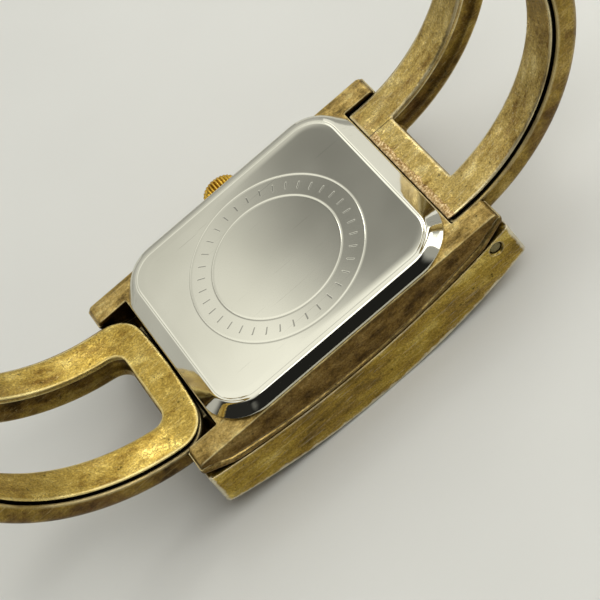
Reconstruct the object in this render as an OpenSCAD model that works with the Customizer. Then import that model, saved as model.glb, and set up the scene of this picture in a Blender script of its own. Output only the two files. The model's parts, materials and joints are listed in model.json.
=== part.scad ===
// A lady's rectangular quartz bangle watch, lying on its arched front.
// The origin is the centre of the case back's flat, and +Z points out of the case back.
// +X runs to twelve o'clock and +Y to the crown. Inside the modules heights are measured
// from the lowest point of the front, and place() drops everything to the origin.

/* [Bezel] */
// Length of a lug along the front edge
lug_front = 3.59; // [3.2:0.01:5]
// How far the front edge stands out past the mid case's flat on each side
bezel_step = 0.8; // [0.6:0.05:2.5]
// How far a side leans in for each millimetre of height
bezel_draft = 0.07; // [0.02:0.01:0.1]
// Height of the bezel's side at the middle of the case
bezel_h = 4.4; // [4:0.1:5]
// Radius of the arched front
front_r = 54.5; // [48:0.5:80]
// Radius of the seam between bezel and mid case
seam_r = 76; // [64:1:110]
// How far the hollow for the dial reaches past the movement's opening all round
seat_ledge = 0.5; // [0.4:0.05:0.6]
// Height of the ledge that the dial rests on
ledge_h = 4; // [3.8:0.05:4.1]
// How far the bezel covers the dial at twelve and six
sight_edge_l = 1.3; // [1:0.1:2.5]
// How far the bezel covers the dial at three and nine
sight_edge_w = 2.1; // [1.7:0.1:3]

/* [Crystal] */
// How far the crystal reaches past the sight opening all round
crystal_ledge = 0.9; // [0.6:0.05:1.1]
// Thickness of the crystal
crystal_t = 1.2; // [0.8:0.1:1.3]
// How far the crystal lies behind the front
crystal_sink = 0.25; // [0.1:0.05:0.4]
// Width of the gasket around the crystal
crystal_seal = 0.2; // [0.15:0.05:0.3]

/* [Mid case] */
// Height of the mid case's flat above the lowest point of the front
flat_h = 7.9; // [7.8:0.1:8.4]
// Ledge of the mid case beside the back's rim
mid_ledge = 0.35; // [0.2:0.05:0.6]
// Ledge of the mid case between the back's rim and an arm
end_ledge = 0.41; // [0.3:0.01:0.8]
// How far a side leans out for each millimetre down
mid_lean = 0.1; // [0.04:0.02:0.14]
// Length of a lug's flat
lug_flat = 2.74; // [2.2:0.02:2.9]
// Width of a lug
lug_w = 2.19; // [2:0.01:2.6]
// How far the rounded nose of a lug stands past its flat
lug_nose = 0.45; // [0.2:0.05:0.6]
// Height of the gap between mid case and bezel at the middle
seam_gap = 0.1; // [0.05:0.05:0.3]
// Where the gap begins to widen towards the ends, from the centre
seam_flare_x = 10.5; // [9:0.5:12]
// Height of that gap at the tip of a lug
lug_gap = 1; // [0.5:0.1:1.2]
// Height of the bright bead along the lower edge
bead_h = 0.3; // [0.2:0.05:0.4]
// How far the bead stands out
bead_out = 0.1; // [0.05:0.05:0.15]
// Depth of the rabbet that holds the back gasket
rabbet_d = 0.3; // [0.2:0.05:0.4]

/* [Case back] */
// Room under the back for the battery's strap and the screws' heads
back_room = 0.74; // [0.6:0.02:1]
// How far the back reaches past the movement's opening at its ends
back_ledge_l = 1; // [0.8:0.05:1.3]
// How far the back reaches past the movement's opening at its sides
back_ledge_w = 0.95; // [0.8:0.05:1.3]
// Length of the slope from the back's rim to its flat at the ends
back_slope_l = 1.05; // [0.6:0.05:1.6]
// Length of the slope from the back's rim to its flat at the sides
back_slope_w = 0.72; // [0.4:0.02:1.4]
// Corner radius of the back
back_r = 2.9; // [2.4:0.1:3.2]
// Height of the back's straight rim
rim_h = 0.25; // [0.15:0.05:0.4]
// Thickness of the back's sheet
back_t = 0.5; // [0.4:0.05:0.6]
// Depth of the snap ring below the rim
snap_d = 0.6; // [0.4:0.05:0.7]
// Wall of the snap ring
snap_t = 0.5; // [0.4:0.05:0.6]

/* [Hinges] */
// Distance of each hinge pin from the case's end wall
hinge_in = 1.52; // [1.45:0.01:1.6]
// Radius of a hinge pin
pin_r = 0.55; // [0.45:0.05:0.6]
// How far a pin's end lies inside its open hole
pin_sink = 0.4; // [0.2:0.1:0.6]
// Wall between a pin's blind end and the side of the bezel
pin_wall = 0.9; // [0.6:0.1:1.2]
// Height of the floor under a knuckle
notch_floor = 3.5; // [3.3:0.05:3.6]
// Length of that floor
notch_lip = 1.99; // [1.6:0.01:2.4]
// Clearance between a knuckle and that floor
floor_gap = 0.17; // [0.1:0.01:0.2]
// Radius of the knuckle around a pin
knuckle_r = 1.25; // [1.15:0.05:1.3]
// Half the width of the slot that holds a hinge spring
spring_slot = 1.6; // [1.2:0.1:2.4]
// Thickness of the spring's wire
wire_t = 0.3; // [0.2:0.05:0.35]

/* [Arms] */
// Radius of the wrist side of the right arm near the case
right_r = 14.3; // [13.5:0.1:16]
// Distance of that curve's centre from the case's end wall
right_in = 1.19; // [0.9:0.01:1.5]
// Radius of the wrist side of the left arm near the case
left_r = 15.6; // [14.5:0.1:17]
// Distance of that curve's centre from the case's end wall
left_in = 0.89; // [0.7:0.01:1.2]
// How far the left arm lies below the mid case's flat
left_drop = 0.25; // [0:0.05:0.3]
// Radius of the arms' second curve, under the wrist
under_r = 22; // [20:0.5:26]
// Angle of that second curve
under_angle = 66; // [50:1:72]
// Clearance between an arm and a lug
arm_gap = 0.11; // [0.06:0.01:0.3]
// How far an arm's inner strip lies inside its channel on each side
strip_inset = 0.45; // [0.35:0.05:0.8]
// Thickness of the inner strip
strip_t = 0.85; // [0.6:0.05:1]
// Whole thickness of an arm
arm_t = 2.9; // [2.6:0.05:3.1]
// Width of the opening between the rails
loop_w = 9; // [7:0.2:10]
// Width of the bar at the hinge
hinge_bar = 2.55; // [2.4:0.05:2.7]
// Width of the bar at the free end
end_bar = 3.2; // [2:0.1:5]
// Corner radius of the left arm beside the case
left_corner_r = 2.8; // [1:0.1:3]
// Corner radius at the free ends
end_corner_r = 3.4; // [1:0.1:4]
// Clearance between the right arm and the case when it is closed
close_gap = 0.1; // [0.05:0.01:0.2]
// Clearance between the left arm and the case when it is closed
left_close_gap = 0.5; // [0.3:0.05:0.6]

/* [Crown] */
// Radius of the crown
crown_r = 1.8; // [1.5:0.05:1.9]
// Length of the crown
crown_l = 1.6; // [1.2:0.1:2]
// Clearance between the crown and the side of the case
crown_gap = 0.11; // [0.05:0.01:0.3]
// Height of the stem above the main plate's inner face
stem_rise = 0.55; // [0.5:0.05:0.65]
// Radius of the stem
stem_r = 0.45; // [0.35:0.05:0.5]
// Number of flutes around the crown
flutes = 32; // [20:1:40]
// Outer radius of the crown tube
tube_r = 0.95; // [0.85:0.05:1]
// How far the crown pulls out
pull = 0.8; // [0.5:0.1:0.9]

/* [Dial and hands] */
// Thickness of the dial
dial_t = 0.4; // [0.3:0.05:0.4]
// Length of the minute hand
minute_l = 6.6; // [5:0.1:7]
// Length of the hour hand
hour_l = 4.6; // [3.5:0.1:5.2]
// Length of the second hand
second_l = 6.2; // [5:0.1:6.8]
// Thickness of a hand
hand_t = 0.12; // [0.1:0.02:0.16]
// Height of an applied hour marker
marker_t = 0.15; // [0.1:0.05:0.25]
// Length of an applied hour marker
marker_l = 1.3; // [0.8:0.1:2]
// Width of an applied hour marker
marker_w = 0.4; // [0.3:0.05:0.6]

/* [Movement] */
// Length of the movement
move_l = 17.8; // [17.6:0.1:20]
// Width of the movement
move_w = 15.3; // [15.2:0.1:18]
// Width of the movement holder at its ends
holder_l = 2.1; // [1.5:0.05:3]
// Width of the movement holder at its sides
holder_w = 1.55; // [1.2:0.05:3]
// Thickness of the main plate
plate_t = 1.2; // [1.2:0.05:1.25]
// Height of the train bridge's underside above the main plate
bridge_gap = 1.75; // [1.7:0.05:1.8]
// Thickness of the train bridge
bridge_t = 0.4; // [0.3:0.05:0.5]
// Diameter of the battery
battery_d = 6.8; // [6.4:0.1:6.8]
// Wheel thickness
wheel_t = 0.15; // [0.1:0.01:0.18]
// Radius of a wheel's arbor
arbor_r = 0.12; // [0.1:0.01:0.13]
// Module of the motion work's teeth
motion_m = 0.1; // [0.09:0.005:0.1]
// Module of the third and centre wheels' teeth
train_m = 0.075; // [0.07:0.001:0.076]
// Module of the fifth wheel's teeth
rotor_m = 0.1; // [0.09:0.005:0.1]

/* [Hidden] */
$fn = 96;

slip = 0.05;                            // running clearance of a large fit
fit = 0.03;                             // running clearance of an arbor or tube
cut = 0.5;                              // overrun of a cutting shape
part_gap = 0.05;                        // clearance between pieces that drop in

// Outlines, from the movement outwards
mid_hole_l = move_l + 2 * holder_l;
mid_hole_w = move_w + 2 * holder_w;
seat_l = mid_hole_l + 2 * seat_ledge;
seat_w = mid_hole_w + 2 * seat_ledge;
sight_l = seat_l - 2 * sight_edge_l;
sight_w = seat_w - 2 * sight_edge_w;
crystal_l = sight_l + 2 * crystal_ledge;
crystal_w = sight_w + 2 * crystal_ledge;
back_l = mid_hole_l + 2 * back_ledge_l;
back_w = mid_hole_w + 2 * back_ledge_w;
plateau_l = back_l - 2 * back_slope_l;
plateau_w = back_w - 2 * back_slope_w;
mid_w = back_w + 2 * mid_ledge;
notch_l = back_l + 2 * end_ledge;       // between the case's two end walls
notch_w = mid_w - 2 * lug_w;            // between the two lugs of an end
lug_flat_l = notch_l + 2 * lug_flat;
bezel_l = notch_l + 2 * lug_front;
bezel_w = mid_w + 2 * bezel_step;
arm_w = notch_w - 2 * arm_gap;
strip_w = arm_w - 2 * strip_inset;
hinge_x = notch_l / 2 + hinge_in;
hinge_h = notch_floor + floor_gap + knuckle_r;
notch_lip_x = notch_l / 2 + notch_lip;
right_cx = notch_l / 2 + right_in;
left_cx = notch_l / 2 + left_in;

// Levels, from the front's lowest point up to the back's flat
arch_zc = front_r;                      // centre height of the front's arc
seam_zc = bezel_h + seam_r;             // centre height of the seam's arc
dial_h = ledge_h + dial_t;              // the dial's back, where the main plate starts
plate_h = dial_h + plate_t;             // the main plate's inner face
stem_h = plate_h + stem_rise;
bridge_h = plate_h + bridge_gap;        // the bridge's underside
strap_h = bridge_h + bridge_t;          // the battery ends level with the bridge
strap_t = 0.15;                         // thickness of the battery's strap
inner_h = strap_h + strap_t + back_room;  // the back's inner face
total_h = inner_h + back_t;
seat_corner = 2;                        // corner radius of dial, seat and opening
seal_sink = 0.1;                        // how far the crystal's gasket lies behind it

// Arms
right_start = notch_l / 2 + close_gap;
left_start = notch_l / 2 + left_close_gap;
groove_w = 0.25;                        // groove between strip and channel
edge_cut = 0.2;                         // bevel on the channel's wrist side edges
dome_h = 1;                             // height of the channel's rounded shoulders
strip_bevel = 0.12;                     // bevel on the strip's edges
corner_over = 0.03;                     // how far a rounded corner meets its faces at a slant
loop_step = 0.1;                        // how far the channel's opening lies outside the strip's
heel_w = 1.05;                          // from the pin to the knuckle's heel
knuckle_side = 0.15;                    // from the channel's side to the knuckle's end
knuckle_cover = 0.1;                    // from the strip to the knuckle's back
slot_wall = 0.45;                       // wall between the spring's slot and the opening
slot_cover = 0.15;                      // metal between the spring's slot and the strip
spring_side_gap = 0.2;                  // between the spring and the ends of its slot
turn_gap = 0.1;                         // width of the grooves that mark the spring's turns

// Crown, stem and setting lever
crown_y = max(side_y(bezel_h), mid_y(stem_h - crown_r) + bead_out) + crown_gap;
crown_face = crown_y + crown_l;
crown_bevel = 0.2;
crown_top = 0.5;                        // thickness of the crown's face
gasket_t = 0.25;                        // wall of the crown's gasket
gasket_l = 0.4;                         // length of the crown's gasket
stem_end = crown_face - 0.7 * crown_top;
stem_room = 0.25;                       // clearance of the stem in the movement holder
pilot_r = 0.25;                         // radius of the stem's pilot
pilot_w = 1.4;
pilot_top = 0.6;                        // height of the pilot's bearing above the stem
boss_l = 1.35;                          // length of the stem's outer bearing
boss_y = move_w / 2 - boss_l;
pilot_wall_y = [boss_y - 3.5, boss_y - 2.8];  // the pilot's bearing
pilot_y = pilot_wall_y[0] - 0.35;       // inner end of the stem
boss_w = 2.8;
boss_top = 0.75;                        // height of the outer bearing above the stem
clutch_r = 0.95;
clutch_y = [boss_y - 2.65, boss_y - 2]; // where the clutch wheel lies on the stem
clutch_room = 0.15;                     // clearance around the clutch wheel
clutch_teeth = 16;
clutch_tooth = 0.4;
lever_t = 0.16;                         // thickness of the lever's sheet
lever_y = boss_y - pull - 0.5;          // the lever's fork, clear of the bearing when pulled
lever_gap = 0.1;                        // between the lever and the bearing's top
lever_w = 1.4;
lever_l = 2.6;
stem_neck_r = 0.3;                      // radius of the stem's neck in the fork

// Motion work under the dial
cannon_r = 0.36;                        // outside of the cannon pinion's tube
hour_tube_r = 0.62;                     // outside of the hour wheel's tube
hour_tube_gap = 0.13;                   // clearance of that tube in the dial
recess_h = plate_h - 0.3;               // floor of the motion work's recess
cover_t = 0.12;                         // thickness of the motion cover
motion_h = dial_h + cover_t + 0.08;     // where the hour wheel begins
motion_level = motion_h + wheel_t + 0.2;  // where the minute wheel begins
minute_at = [0, 0.5 * (30 + 10) * motion_m];
setting_at = minute_at + [0, 0.5 * (30 + 22) * motion_m];
hour_wheel_room = 1.85;
minute_wheel_room = 1.75;
setting_wheel_room = 1.35;
stud_r = 0.2;                           // studs that carry the minute and setting wheels

// Gear train
third_at = 0.5 * (64 + 8) * train_m * [cos(225), sin(225)];
third_m = train_m * (64 + 8) / (60 + 8);
fifth_at = 0.5 * (40 + 8) * rotor_m * [cos(24), -sin(24)];
rotor_at = fifth_at + 0.5 * (36 + 6) * rotor_m * [cos(48), -sin(48)];
centre_h = plate_h + 0.05;
fifth_h = plate_h + 0.5;
third_h = plate_h + 0.72;
fourth_h = plate_h + 1.2;
pinion_over = 0.1;                      // how far a pinion reaches past its wheel
pivot_l = 0.25;                         // length of a pivot in plate or bridge
pivot_gap = 0.1;                        // space beyond the end of a pivot
tooth_gap = 0.01;                       // how far a tooth's tip stays off the pitch circle
rotor_r = 0.6;
rotor_t = 0.35;

// Posts and screws
plate_corner = 1.2;
post_x = move_l / 2 - 1.5;
post_y = move_w / 2 - 1.75;
bridge_posts = [[-post_x, -post_y], [post_x, -post_y], [post_x, -0.6], [-post_x, -1.4]];
post_r = 0.75;
screw_r = 0.28;
screw_l = 0.9;                          // length of a screw in its post
screw_head_r = 0.6;
screw_head_t = 0.22;
driver_slot = 0.16;
bridge_l = move_l - 1;
bridge_y = [0.75 - move_w / 2, 1.3];
window_r = 1;                           // window over the coil

// Battery and its strap
battery_at = [battery_d / 2 + 0.3 - move_l / 2, move_w / 2 - battery_d / 2 - 0.65];
battery_room = 0.2;                     // clearance of the bridge around the battery
battery_step = 0.25;                    // step between the battery's can and cap
battery_rim_h = 0.86;                   // height of the battery's wide half
strap_post = battery_at + [battery_d / 2 + 0.5, battery_d / 2 - 0.1];
strap_post_r = 0.5;
strap_end = battery_at - [1.2, battery_d / 2 - 0.1];
strap_w = 1.4;

// Coil, stator and circuit board
stator_x = [1.4, post_x - 1.2];         // ends of the stator
stator_w = 5;
stator_t = 0.4;
stator_slot = 3.3;                      // length of the slot between the stator's legs
stator_bore = 0.72;                     // opening around the rotor
core_foot = 0.9;                        // side of the core's feet on the stator
core_r = 0.35;
core_t = 0.45;
coil_y = -5.9;
coil_x = stator_x + [1, -1];            // ends of the winding
coil_r = 0.95;
coil_h = plate_h + stator_t + core_t / 2;
coil_room = 0.1;
board_x = [1.9, move_l / 2 - 0.5];
board_y = [1.5, move_w / 2 - 0.55];
board_t = 0.15;
centre_room = 2.55;                     // opening of the board around the centre wheel
chip_at = [2.6, 3.1];
chip_size = [1.6, 1.5, 0.4];
quartz_at = [3.6, move_w / 2 - 1.55];
quartz_r = 0.65;
quartz_l = 4.2;

// Hands
hour_low = ledge_h - 0.8;
minute_low = hour_low - 0.45;
second_low = minute_low - 0.45;
hub_over = 0.03;                        // how far a hub stands out of its hand
hand_tip = 0.05;                        // half the width of a hand's tip
hour_hub = 0.85;
minute_hub = 0.6;
second_hub = 0.4;
minutes_shown = 609.5;                  // minutes past twelve
hour_angle = minutes_shown / 2;
minute_angle = 6 * minutes_shown;
second_angle = 360 * minutes_shown;
marker_edge = 0.6;                      // from the markers to the sight opening

module place() {
    translate([0, 0, -total_h]) children();
}

// A plain rounded rectangle, drawn from squares and true circles
module round_rect(l, w, r) {
    square([l - 2 * r, w], center = true);
    square([l, w - 2 * r], center = true);
    for (sx = [-1, 1], sy = [-1, 1])
        translate([sx * (l / 2 - r), sy * (w / 2 - r)]) circle(r);
}

// A rounded slab between two heights
module slab(l, w, r, low, high) {
    translate([0, 0, low]) linear_extrude(high - low) round_rect(l, w, r);
}

// An outline in X and height, drawn out across the width
module across(w) {
    rotate([90, 0, 0]) linear_extrude(w, center = true) children();
}

// An outline in Y and height, drawn out along the length
module along(l) {
    rotate([90, 0, 90]) linear_extrude(l, center = true) children();
}

module rod(at, r, low, high) {
    translate([at[0], at[1], low]) cylinder(r = r, h = high - low);
}

// A rod that runs along Y
module y_rod(x, h, r, from, to) {
    translate([x, from, h]) rotate([-90, 0, 0]) cylinder(r = r, h = to - from);
}

// A toothed disc: one point at each tip and one at each root
module toothed(at, teeth, m, low, high) {
    tip = 0.5 * teeth * m - tooth_gap;
    root = tip - 1.2 * m;
    step = 180 / teeth;
    translate([at[0], at[1], low]) linear_extrude(high - low)
        polygon([for (i = [0 : 2 * teeth - 1])
            (i % 2 == 0 ? tip : root) * [cos(i * step), sin(i * step)]]);
}

// Four round holes that lighten a wheel
module wheel_holes(at, r, hole_r, low, high) {
    for (a = [45 : 90 : 315])
        rod(at + r * [cos(a), sin(a)], hole_r, low - cut, high + cut);
}

// Bezel
function side_y(h) = bezel_w / 2 - bezel_draft * h;
corner_h = arch_zc - sqrt(front_r * front_r - bezel_l * bezel_l / 4);
function end_x(h) = bezel_l / 2 - bezel_draft * (h - corner_h);

module bezel_outline() {
    intersection() {
        difference() {
            translate([0, arch_zc]) circle(front_r, $fn = 360);
            translate([0, seam_zc]) circle(seam_r, $fn = 360);
        }
        polygon([[-end_x(-cut), -cut], [end_x(-cut), -cut], [end_x(total_h), total_h],
            [-end_x(total_h), total_h]]);
    }
}

module crystal_space(l, w, r) {
    intersection() {
        slab(l, w, r, -cut, ledge_h);
        across(w + 1) translate([0, arch_zc]) difference() {
            circle(front_r + cut, $fn = 360);
            circle(front_r - crystal_sink - crystal_t, $fn = 360);
        }
    }
}

module pin_bores(r) {
    open_y = side_y(0) + cut;
    blind_y = side_y(hinge_h) - pin_wall;
    y_rod(hinge_x, hinge_h, r, -open_y, blind_y);
    y_rod(-hinge_x, hinge_h, r, -blind_y, open_y);
}

// The space for an arm at each end, from a distance outwards and a height upwards
module notches(from, low) {
    for (s = [-1, 1])
        translate([s * (from + bezel_l / 2), 0, low + total_h])
            cube([bezel_l, notch_w, 2 * total_h], center = true);
}

module bezel() {
    color("goldenrod") place() difference() {
        intersection() {
            across(bezel_w + 1) bezel_outline();
            along(bezel_l + 1) polygon([[-side_y(0), 0], [side_y(0), 0],
                [side_y(total_h), total_h], [-side_y(total_h), total_h]]);
        }
        slab(seat_l, seat_w, seat_corner + part_gap, ledge_h, flat_h);
        slab(sight_l, sight_w, seat_corner, -cut, flat_h);
        crystal_space(crystal_l + 2 * crystal_seal, crystal_w + 2 * crystal_seal,
            seat_corner + crystal_seal);
        notches(notch_l / 2, notch_floor);
        notches(notch_lip_x, -cut);
        pin_bores(pin_r + fit);
    }
}

module crystal() {
    color("lightcyan") place() intersection() {
        slab(crystal_l, crystal_w, seat_corner, -cut, ledge_h);
        across(crystal_w + 1) translate([0, arch_zc]) difference() {
            circle(front_r - crystal_sink, $fn = 360);
            circle(front_r - crystal_sink - crystal_t, $fn = 360);
        }
    }
}

module crystal_gasket() {
    color("white") place() intersection() {
        difference() {
            slab(crystal_l + 2 * crystal_seal, crystal_w + 2 * crystal_seal,
                seat_corner + crystal_seal, -cut, ledge_h);
            slab(crystal_l, crystal_w, seat_corner, -2 * cut, flat_h);
        }
        across(crystal_w + 2) translate([0, arch_zc]) difference() {
            circle(front_r - crystal_sink - seal_sink, $fn = 360);
            circle(front_r - crystal_sink - crystal_t, $fn = 360);
        }
    }
}

// Mid case
function mid_y(h) = mid_w / 2 + mid_lean * (flat_h - h);
lug_x = lug_flat_l / 2 + lug_nose;
function seam_at(x) = seam_zc - sqrt(seam_r * seam_r - x * x);
lug_low_h = seam_at(lug_x) + lug_gap;

lug_rise = (lug_low_h - seam_at(seam_flare_x) - seam_gap) / (lug_x - seam_flare_x);

// The lower edge follows the seam, and leaves it towards the tips of the lugs
module mid_outline(lift) {
    flare_h = seam_at(seam_flare_x) + seam_gap + lift;
    difference() {
        intersection() {
            polygon([[-lug_x, 0], [lug_x, 0], [lug_x, flat_h - lug_nose],
                [lug_x - 0.4 * lug_nose, flat_h - 0.4 * lug_nose],
                [lug_flat_l / 2, flat_h], [-lug_flat_l / 2, flat_h],
                [-lug_x + 0.4 * lug_nose, flat_h - 0.4 * lug_nose],
                [-lug_x, flat_h - lug_nose]]);
            translate([0, seam_zc + seam_gap + lift]) circle(seam_r, $fn = 360);
        }
        for (s = [-1, 1])
            polygon([[s * seam_flare_x, flare_h], [s * seam_flare_x, 0], [s * (lug_x + 1), 0],
                [s * (lug_x + 1), lug_low_h + lug_rise + lift]]);
    }
}

module mid_section(out) {
    polygon([[-mid_y(0) - out, 0], [mid_y(0) + out, 0], [mid_y(flat_h) + out, flat_h],
        [-mid_y(flat_h) - out, flat_h]]);
}

module mid_case() {
    color("darkgoldenrod") place() difference() {
        union() {
            intersection() {
                across(mid_w + 4) mid_outline(0);
                along(bezel_l + 1) mid_section(0);
            }
            intersection() {
                across(mid_w + 4) difference() {
                    mid_outline(0);
                    mid_outline(bead_h);
                }
                along(bezel_l + 1) mid_section(bead_out);
            }
            slab(seat_l - 2 * part_gap, seat_w - 2 * part_gap, seat_corner, dial_h,
                flat_h - snap_d);
        }
        slab(mid_hole_l, mid_hole_w, seat_corner, 0, total_h);
        slab(rabbet_l, rabbet_w, seat_corner + rabbet_w_out / 2, flat_h - rabbet_d, total_h);
        notches(notch_l / 2, 0);
        y_rod(0, stem_h, tube_r, 0, bezel_w);
    }
}

// Case back
rabbet_w_out = 0.45;                    // width of the gasket's rabbet
rabbet_l = mid_hole_l + 2 * rabbet_w_out;
rabbet_w = mid_hole_w + 2 * rabbet_w_out;
snap_l = mid_hole_l - 2 * part_gap;
snap_w = mid_hole_w - 2 * part_gap;

module back_side(full, flat) {
    polygon([[-full / 2, flat_h], [full / 2, flat_h], [full / 2, flat_h + rim_h],
        [flat / 2, total_h], [-flat / 2, total_h], [-full / 2, flat_h + rim_h]]);
}

module case_back() {
    color("gainsboro") place() difference() {
        union() {
            intersection() {
                slab(back_l, back_w, back_r, flat_h, total_h);
                across(back_w + 1) back_side(back_l, plateau_l);
                along(back_l + 1) back_side(back_w, plateau_w);
            }
            slab(snap_l, snap_w, seat_corner, flat_h - snap_d, flat_h + rim_h);
        }
        slab(snap_l - 2 * snap_t, snap_w - 2 * snap_t, seat_corner - snap_t, 0, inner_h);
    }
}

module back_gasket() {
    color("black") place() difference() {
        slab(rabbet_l, rabbet_w, seat_corner + rabbet_w_out / 2, flat_h - rabbet_d, flat_h);
        slab(snap_l, snap_w, seat_corner, 0, total_h);
    }
}

// Dial
module dial() {
    color("ivory") place() difference() {
        slab(seat_l - 2 * part_gap, seat_w - 2 * part_gap, seat_corner, ledge_h, dial_h);
        rod([0, 0], hour_tube_r + hour_tube_gap, 0, flat_h);
    }
}

// Bars around the sight opening, with a double one at twelve
module hour_markers() {
    reach_x = sight_l / 2 - marker_edge - marker_l / 2;
    reach_y = sight_w / 2 - marker_edge - marker_l / 2;
    color("gold") place() for (i = [0 : 11]) {
        a = 30 * i;
        grow = min(reach_x / max(abs(cos(a)), 0.001), reach_y / max(abs(sin(a)), 0.001));
        for (side = i == 0 ? [-1, 1] : [0])
            translate([grow * cos(a), grow * sin(a), ledge_h - marker_t / 2]) rotate([0, 0, a])
                translate([0, side * 0.8 * marker_w, 0])
                    cube([marker_l, marker_w, marker_t], center = true);
    }
}

// Movement holder and plates
module movement_holder() {
    color("whitesmoke") place() difference() {
        slab(snap_l, snap_w, seat_corner, dial_h, flat_h - snap_d - part_gap);
        slab(move_l + 2 * part_gap, move_w + 2 * part_gap, plate_corner + part_gap, 0, total_h);
        y_rod(0, stem_h, stem_r + stem_room, 0, bezel_w);
    }
}

module bridge_post_rods(r, low, high) {
    for (p = bridge_posts) rod(p, r, low, high);
}

module motion_space(grow, low, high) {
    rod([0, 0], hour_wheel_room + grow, low, high);
    rod(minute_at, minute_wheel_room + grow, low, high);
    rod(setting_at, setting_wheel_room + grow, low, high);
}

module main_plate() {
    color("silver") place() difference() {
        union() {
            slab(move_l, move_w, plate_corner, dial_h, plate_h);
            bridge_post_rods(post_r, dial_h, bridge_h);
            rod(strap_post, strap_post_r, dial_h, strap_h);
            translate([-boss_w / 2, boss_y, dial_h])
                cube([boss_w, move_w / 2 - boss_y, stem_h + boss_top - dial_h]);
            translate([-pilot_w / 2, pilot_wall_y[0], dial_h])
                cube([pilot_w, pilot_wall_y[1] - pilot_wall_y[0], stem_h + pilot_top - dial_h]);
        }
        motion_space(0, dial_h - cut, recess_h);
        rod([0, 0], cannon_r + fit, 0, flat_h);
        for (at = [third_at, fifth_at, rotor_at])
            rod(at, arbor_r + fit, plate_h - pivot_l - pivot_gap, flat_h);
        rod(battery_at, battery_d / 2 + part_gap, plate_h, flat_h);
        bridge_post_rods(screw_r + 0.02, bridge_h - screw_l - pivot_gap, bridge_h + cut);
        translate([-clutch_r - clutch_room, pilot_wall_y[1], stem_h - clutch_r - slip])
            cube([2 * (clutch_r + clutch_room), boss_y - pilot_wall_y[1], flat_h]);
        translate([coil_x[0] - coil_room, coil_y - coil_r - coil_room, coil_h - coil_r - slip])
            cube([coil_x[1] - coil_x[0] + 2 * coil_room, 2 * (coil_r + coil_room), flat_h]);
        y_rod(0, stem_h, stem_r + fit, boss_y - cut, bezel_w);
        y_rod(0, stem_h, pilot_r + fit, 0, boss_y);
    }
}

module motion_cover() {
    color("silver") place() {
        difference() {
            motion_space(-part_gap, dial_h, dial_h + cover_t);
            rod([0, 0], hour_tube_r + fit, 0, flat_h);
        }
        rod(minute_at, stud_r, dial_h, recess_h);
        rod(setting_at, stud_r, dial_h, motion_level + wheel_t);
    }
}

module train_bridge() {
    color("silver") place() difference() {
        translate([-bridge_l / 2, bridge_y[0], bridge_h])
            cube([bridge_l, bridge_y[1] - bridge_y[0], bridge_t]);
        rod(battery_at, battery_d / 2 + battery_room, 0, total_h);
        for (at = [[0, 0], third_at, fifth_at, rotor_at]) rod(at, arbor_r + fit, 0, total_h);
        bridge_post_rods(screw_r + 2 * fit, 0, total_h);
        rod([(stator_x[0] + stator_x[1]) / 2 + 1, coil_y + 1], window_r, 0, total_h);
    }
}

module bridge_screws() {
    seat = bridge_h + bridge_t;
    color("lightsteelblue") place() difference() {
        union() {
            bridge_post_rods(screw_head_r, seat, seat + screw_head_t);
            bridge_post_rods(screw_r, bridge_h - screw_l, seat + screw_head_t / 2);
        }
        for (p = bridge_posts)
            translate([p[0], p[1], seat + screw_head_t])
                cube([3 * screw_head_r, driver_slot, screw_head_t], center = true);
    }
}

// Electric pieces
module circuit_board() {
    color("seagreen") place() difference() {
        translate([board_x[0], board_y[0], plate_h])
            cube([board_x[1] - board_x[0], board_y[1] - board_y[0], board_t]);
        rod([0, 0], centre_room, 0, total_h);
    }
}

module chip() {
    color("black") place() translate([chip_at[0], chip_at[1], plate_h + board_t]) cube(chip_size);
}

module quartz_can() {
    color("silver") place()
        translate([quartz_at[0], quartz_at[1], plate_h + board_t + quartz_r])
            rotate([0, 90, 0]) cylinder(r = quartz_r, h = quartz_l);
}

module coil_core() {
    color("gray") place() {
        for (x = [stator_x[0], stator_x[1] - core_foot])
            translate([x, coil_y - core_foot / 2, plate_h + stator_t])
                cube([core_foot, core_foot, core_t]);
        translate([stator_x[0] + core_foot / 2, coil_y, coil_h]) rotate([0, 90, 0])
            intersection() {
                cylinder(r = core_r, h = stator_x[1] - stator_x[0] - core_foot);
                cube([core_t, 2 * core_r, 2 * move_l], center = true);
            }
    }
}

module coil_winding() {
    color("chocolate") place() translate([coil_x[0], coil_y, coil_h]) rotate([0, 90, 0])
        difference() {
            cylinder(r = coil_r, h = coil_x[1] - coil_x[0]);
            translate([0, 0, -cut]) cylinder(r = core_r + fit, h = 2 * cut + coil_x[1] - coil_x[0]);
        }
}

module stator() {
    length = stator_x[1] - stator_x[0];
    color("dimgray") place() difference() {
        translate([stator_x[0], coil_y - core_foot / 2, plate_h])
            cube([length, stator_w, stator_t]);
        translate([stator_x[0] + core_foot, coil_y - core_foot, plate_h - cut])
            cube([length - 2 * core_foot, stator_slot, stator_t + 2 * cut]);
        rod(rotor_at, stator_bore, 0, total_h);
        rod([0, 0], centre_room, 0, total_h);
    }
}

module battery() {
    color("lightgray") place() {
        rod(battery_at, battery_d / 2, plate_h, plate_h + battery_rim_h);
        rod(battery_at, battery_d / 2 - battery_step, plate_h, strap_h);
    }
}

module battery_strap() {
    turn = atan2(strap_end[1] - strap_post[1], strap_end[0] - strap_post[0]);
    length = norm(strap_end - strap_post);
    color("lightsteelblue") place() translate([strap_post[0], strap_post[1], strap_h])
        rotate([0, 0, turn]) {
            translate([0, -strap_w / 2, 0]) cube([length, strap_w, strap_t]);
            cylinder(r = strap_w / 2, h = strap_t);
            translate([length, 0, 0]) cylinder(r = strap_w / 2, h = strap_t);
        }
}

// Hinge pins and springs
module right_hinge_pin() {
    color("silver") place()
        y_rod(hinge_x, hinge_h, pin_r, -side_y(hinge_h) + pin_sink, side_y(hinge_h) - pin_wall);
}

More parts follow.
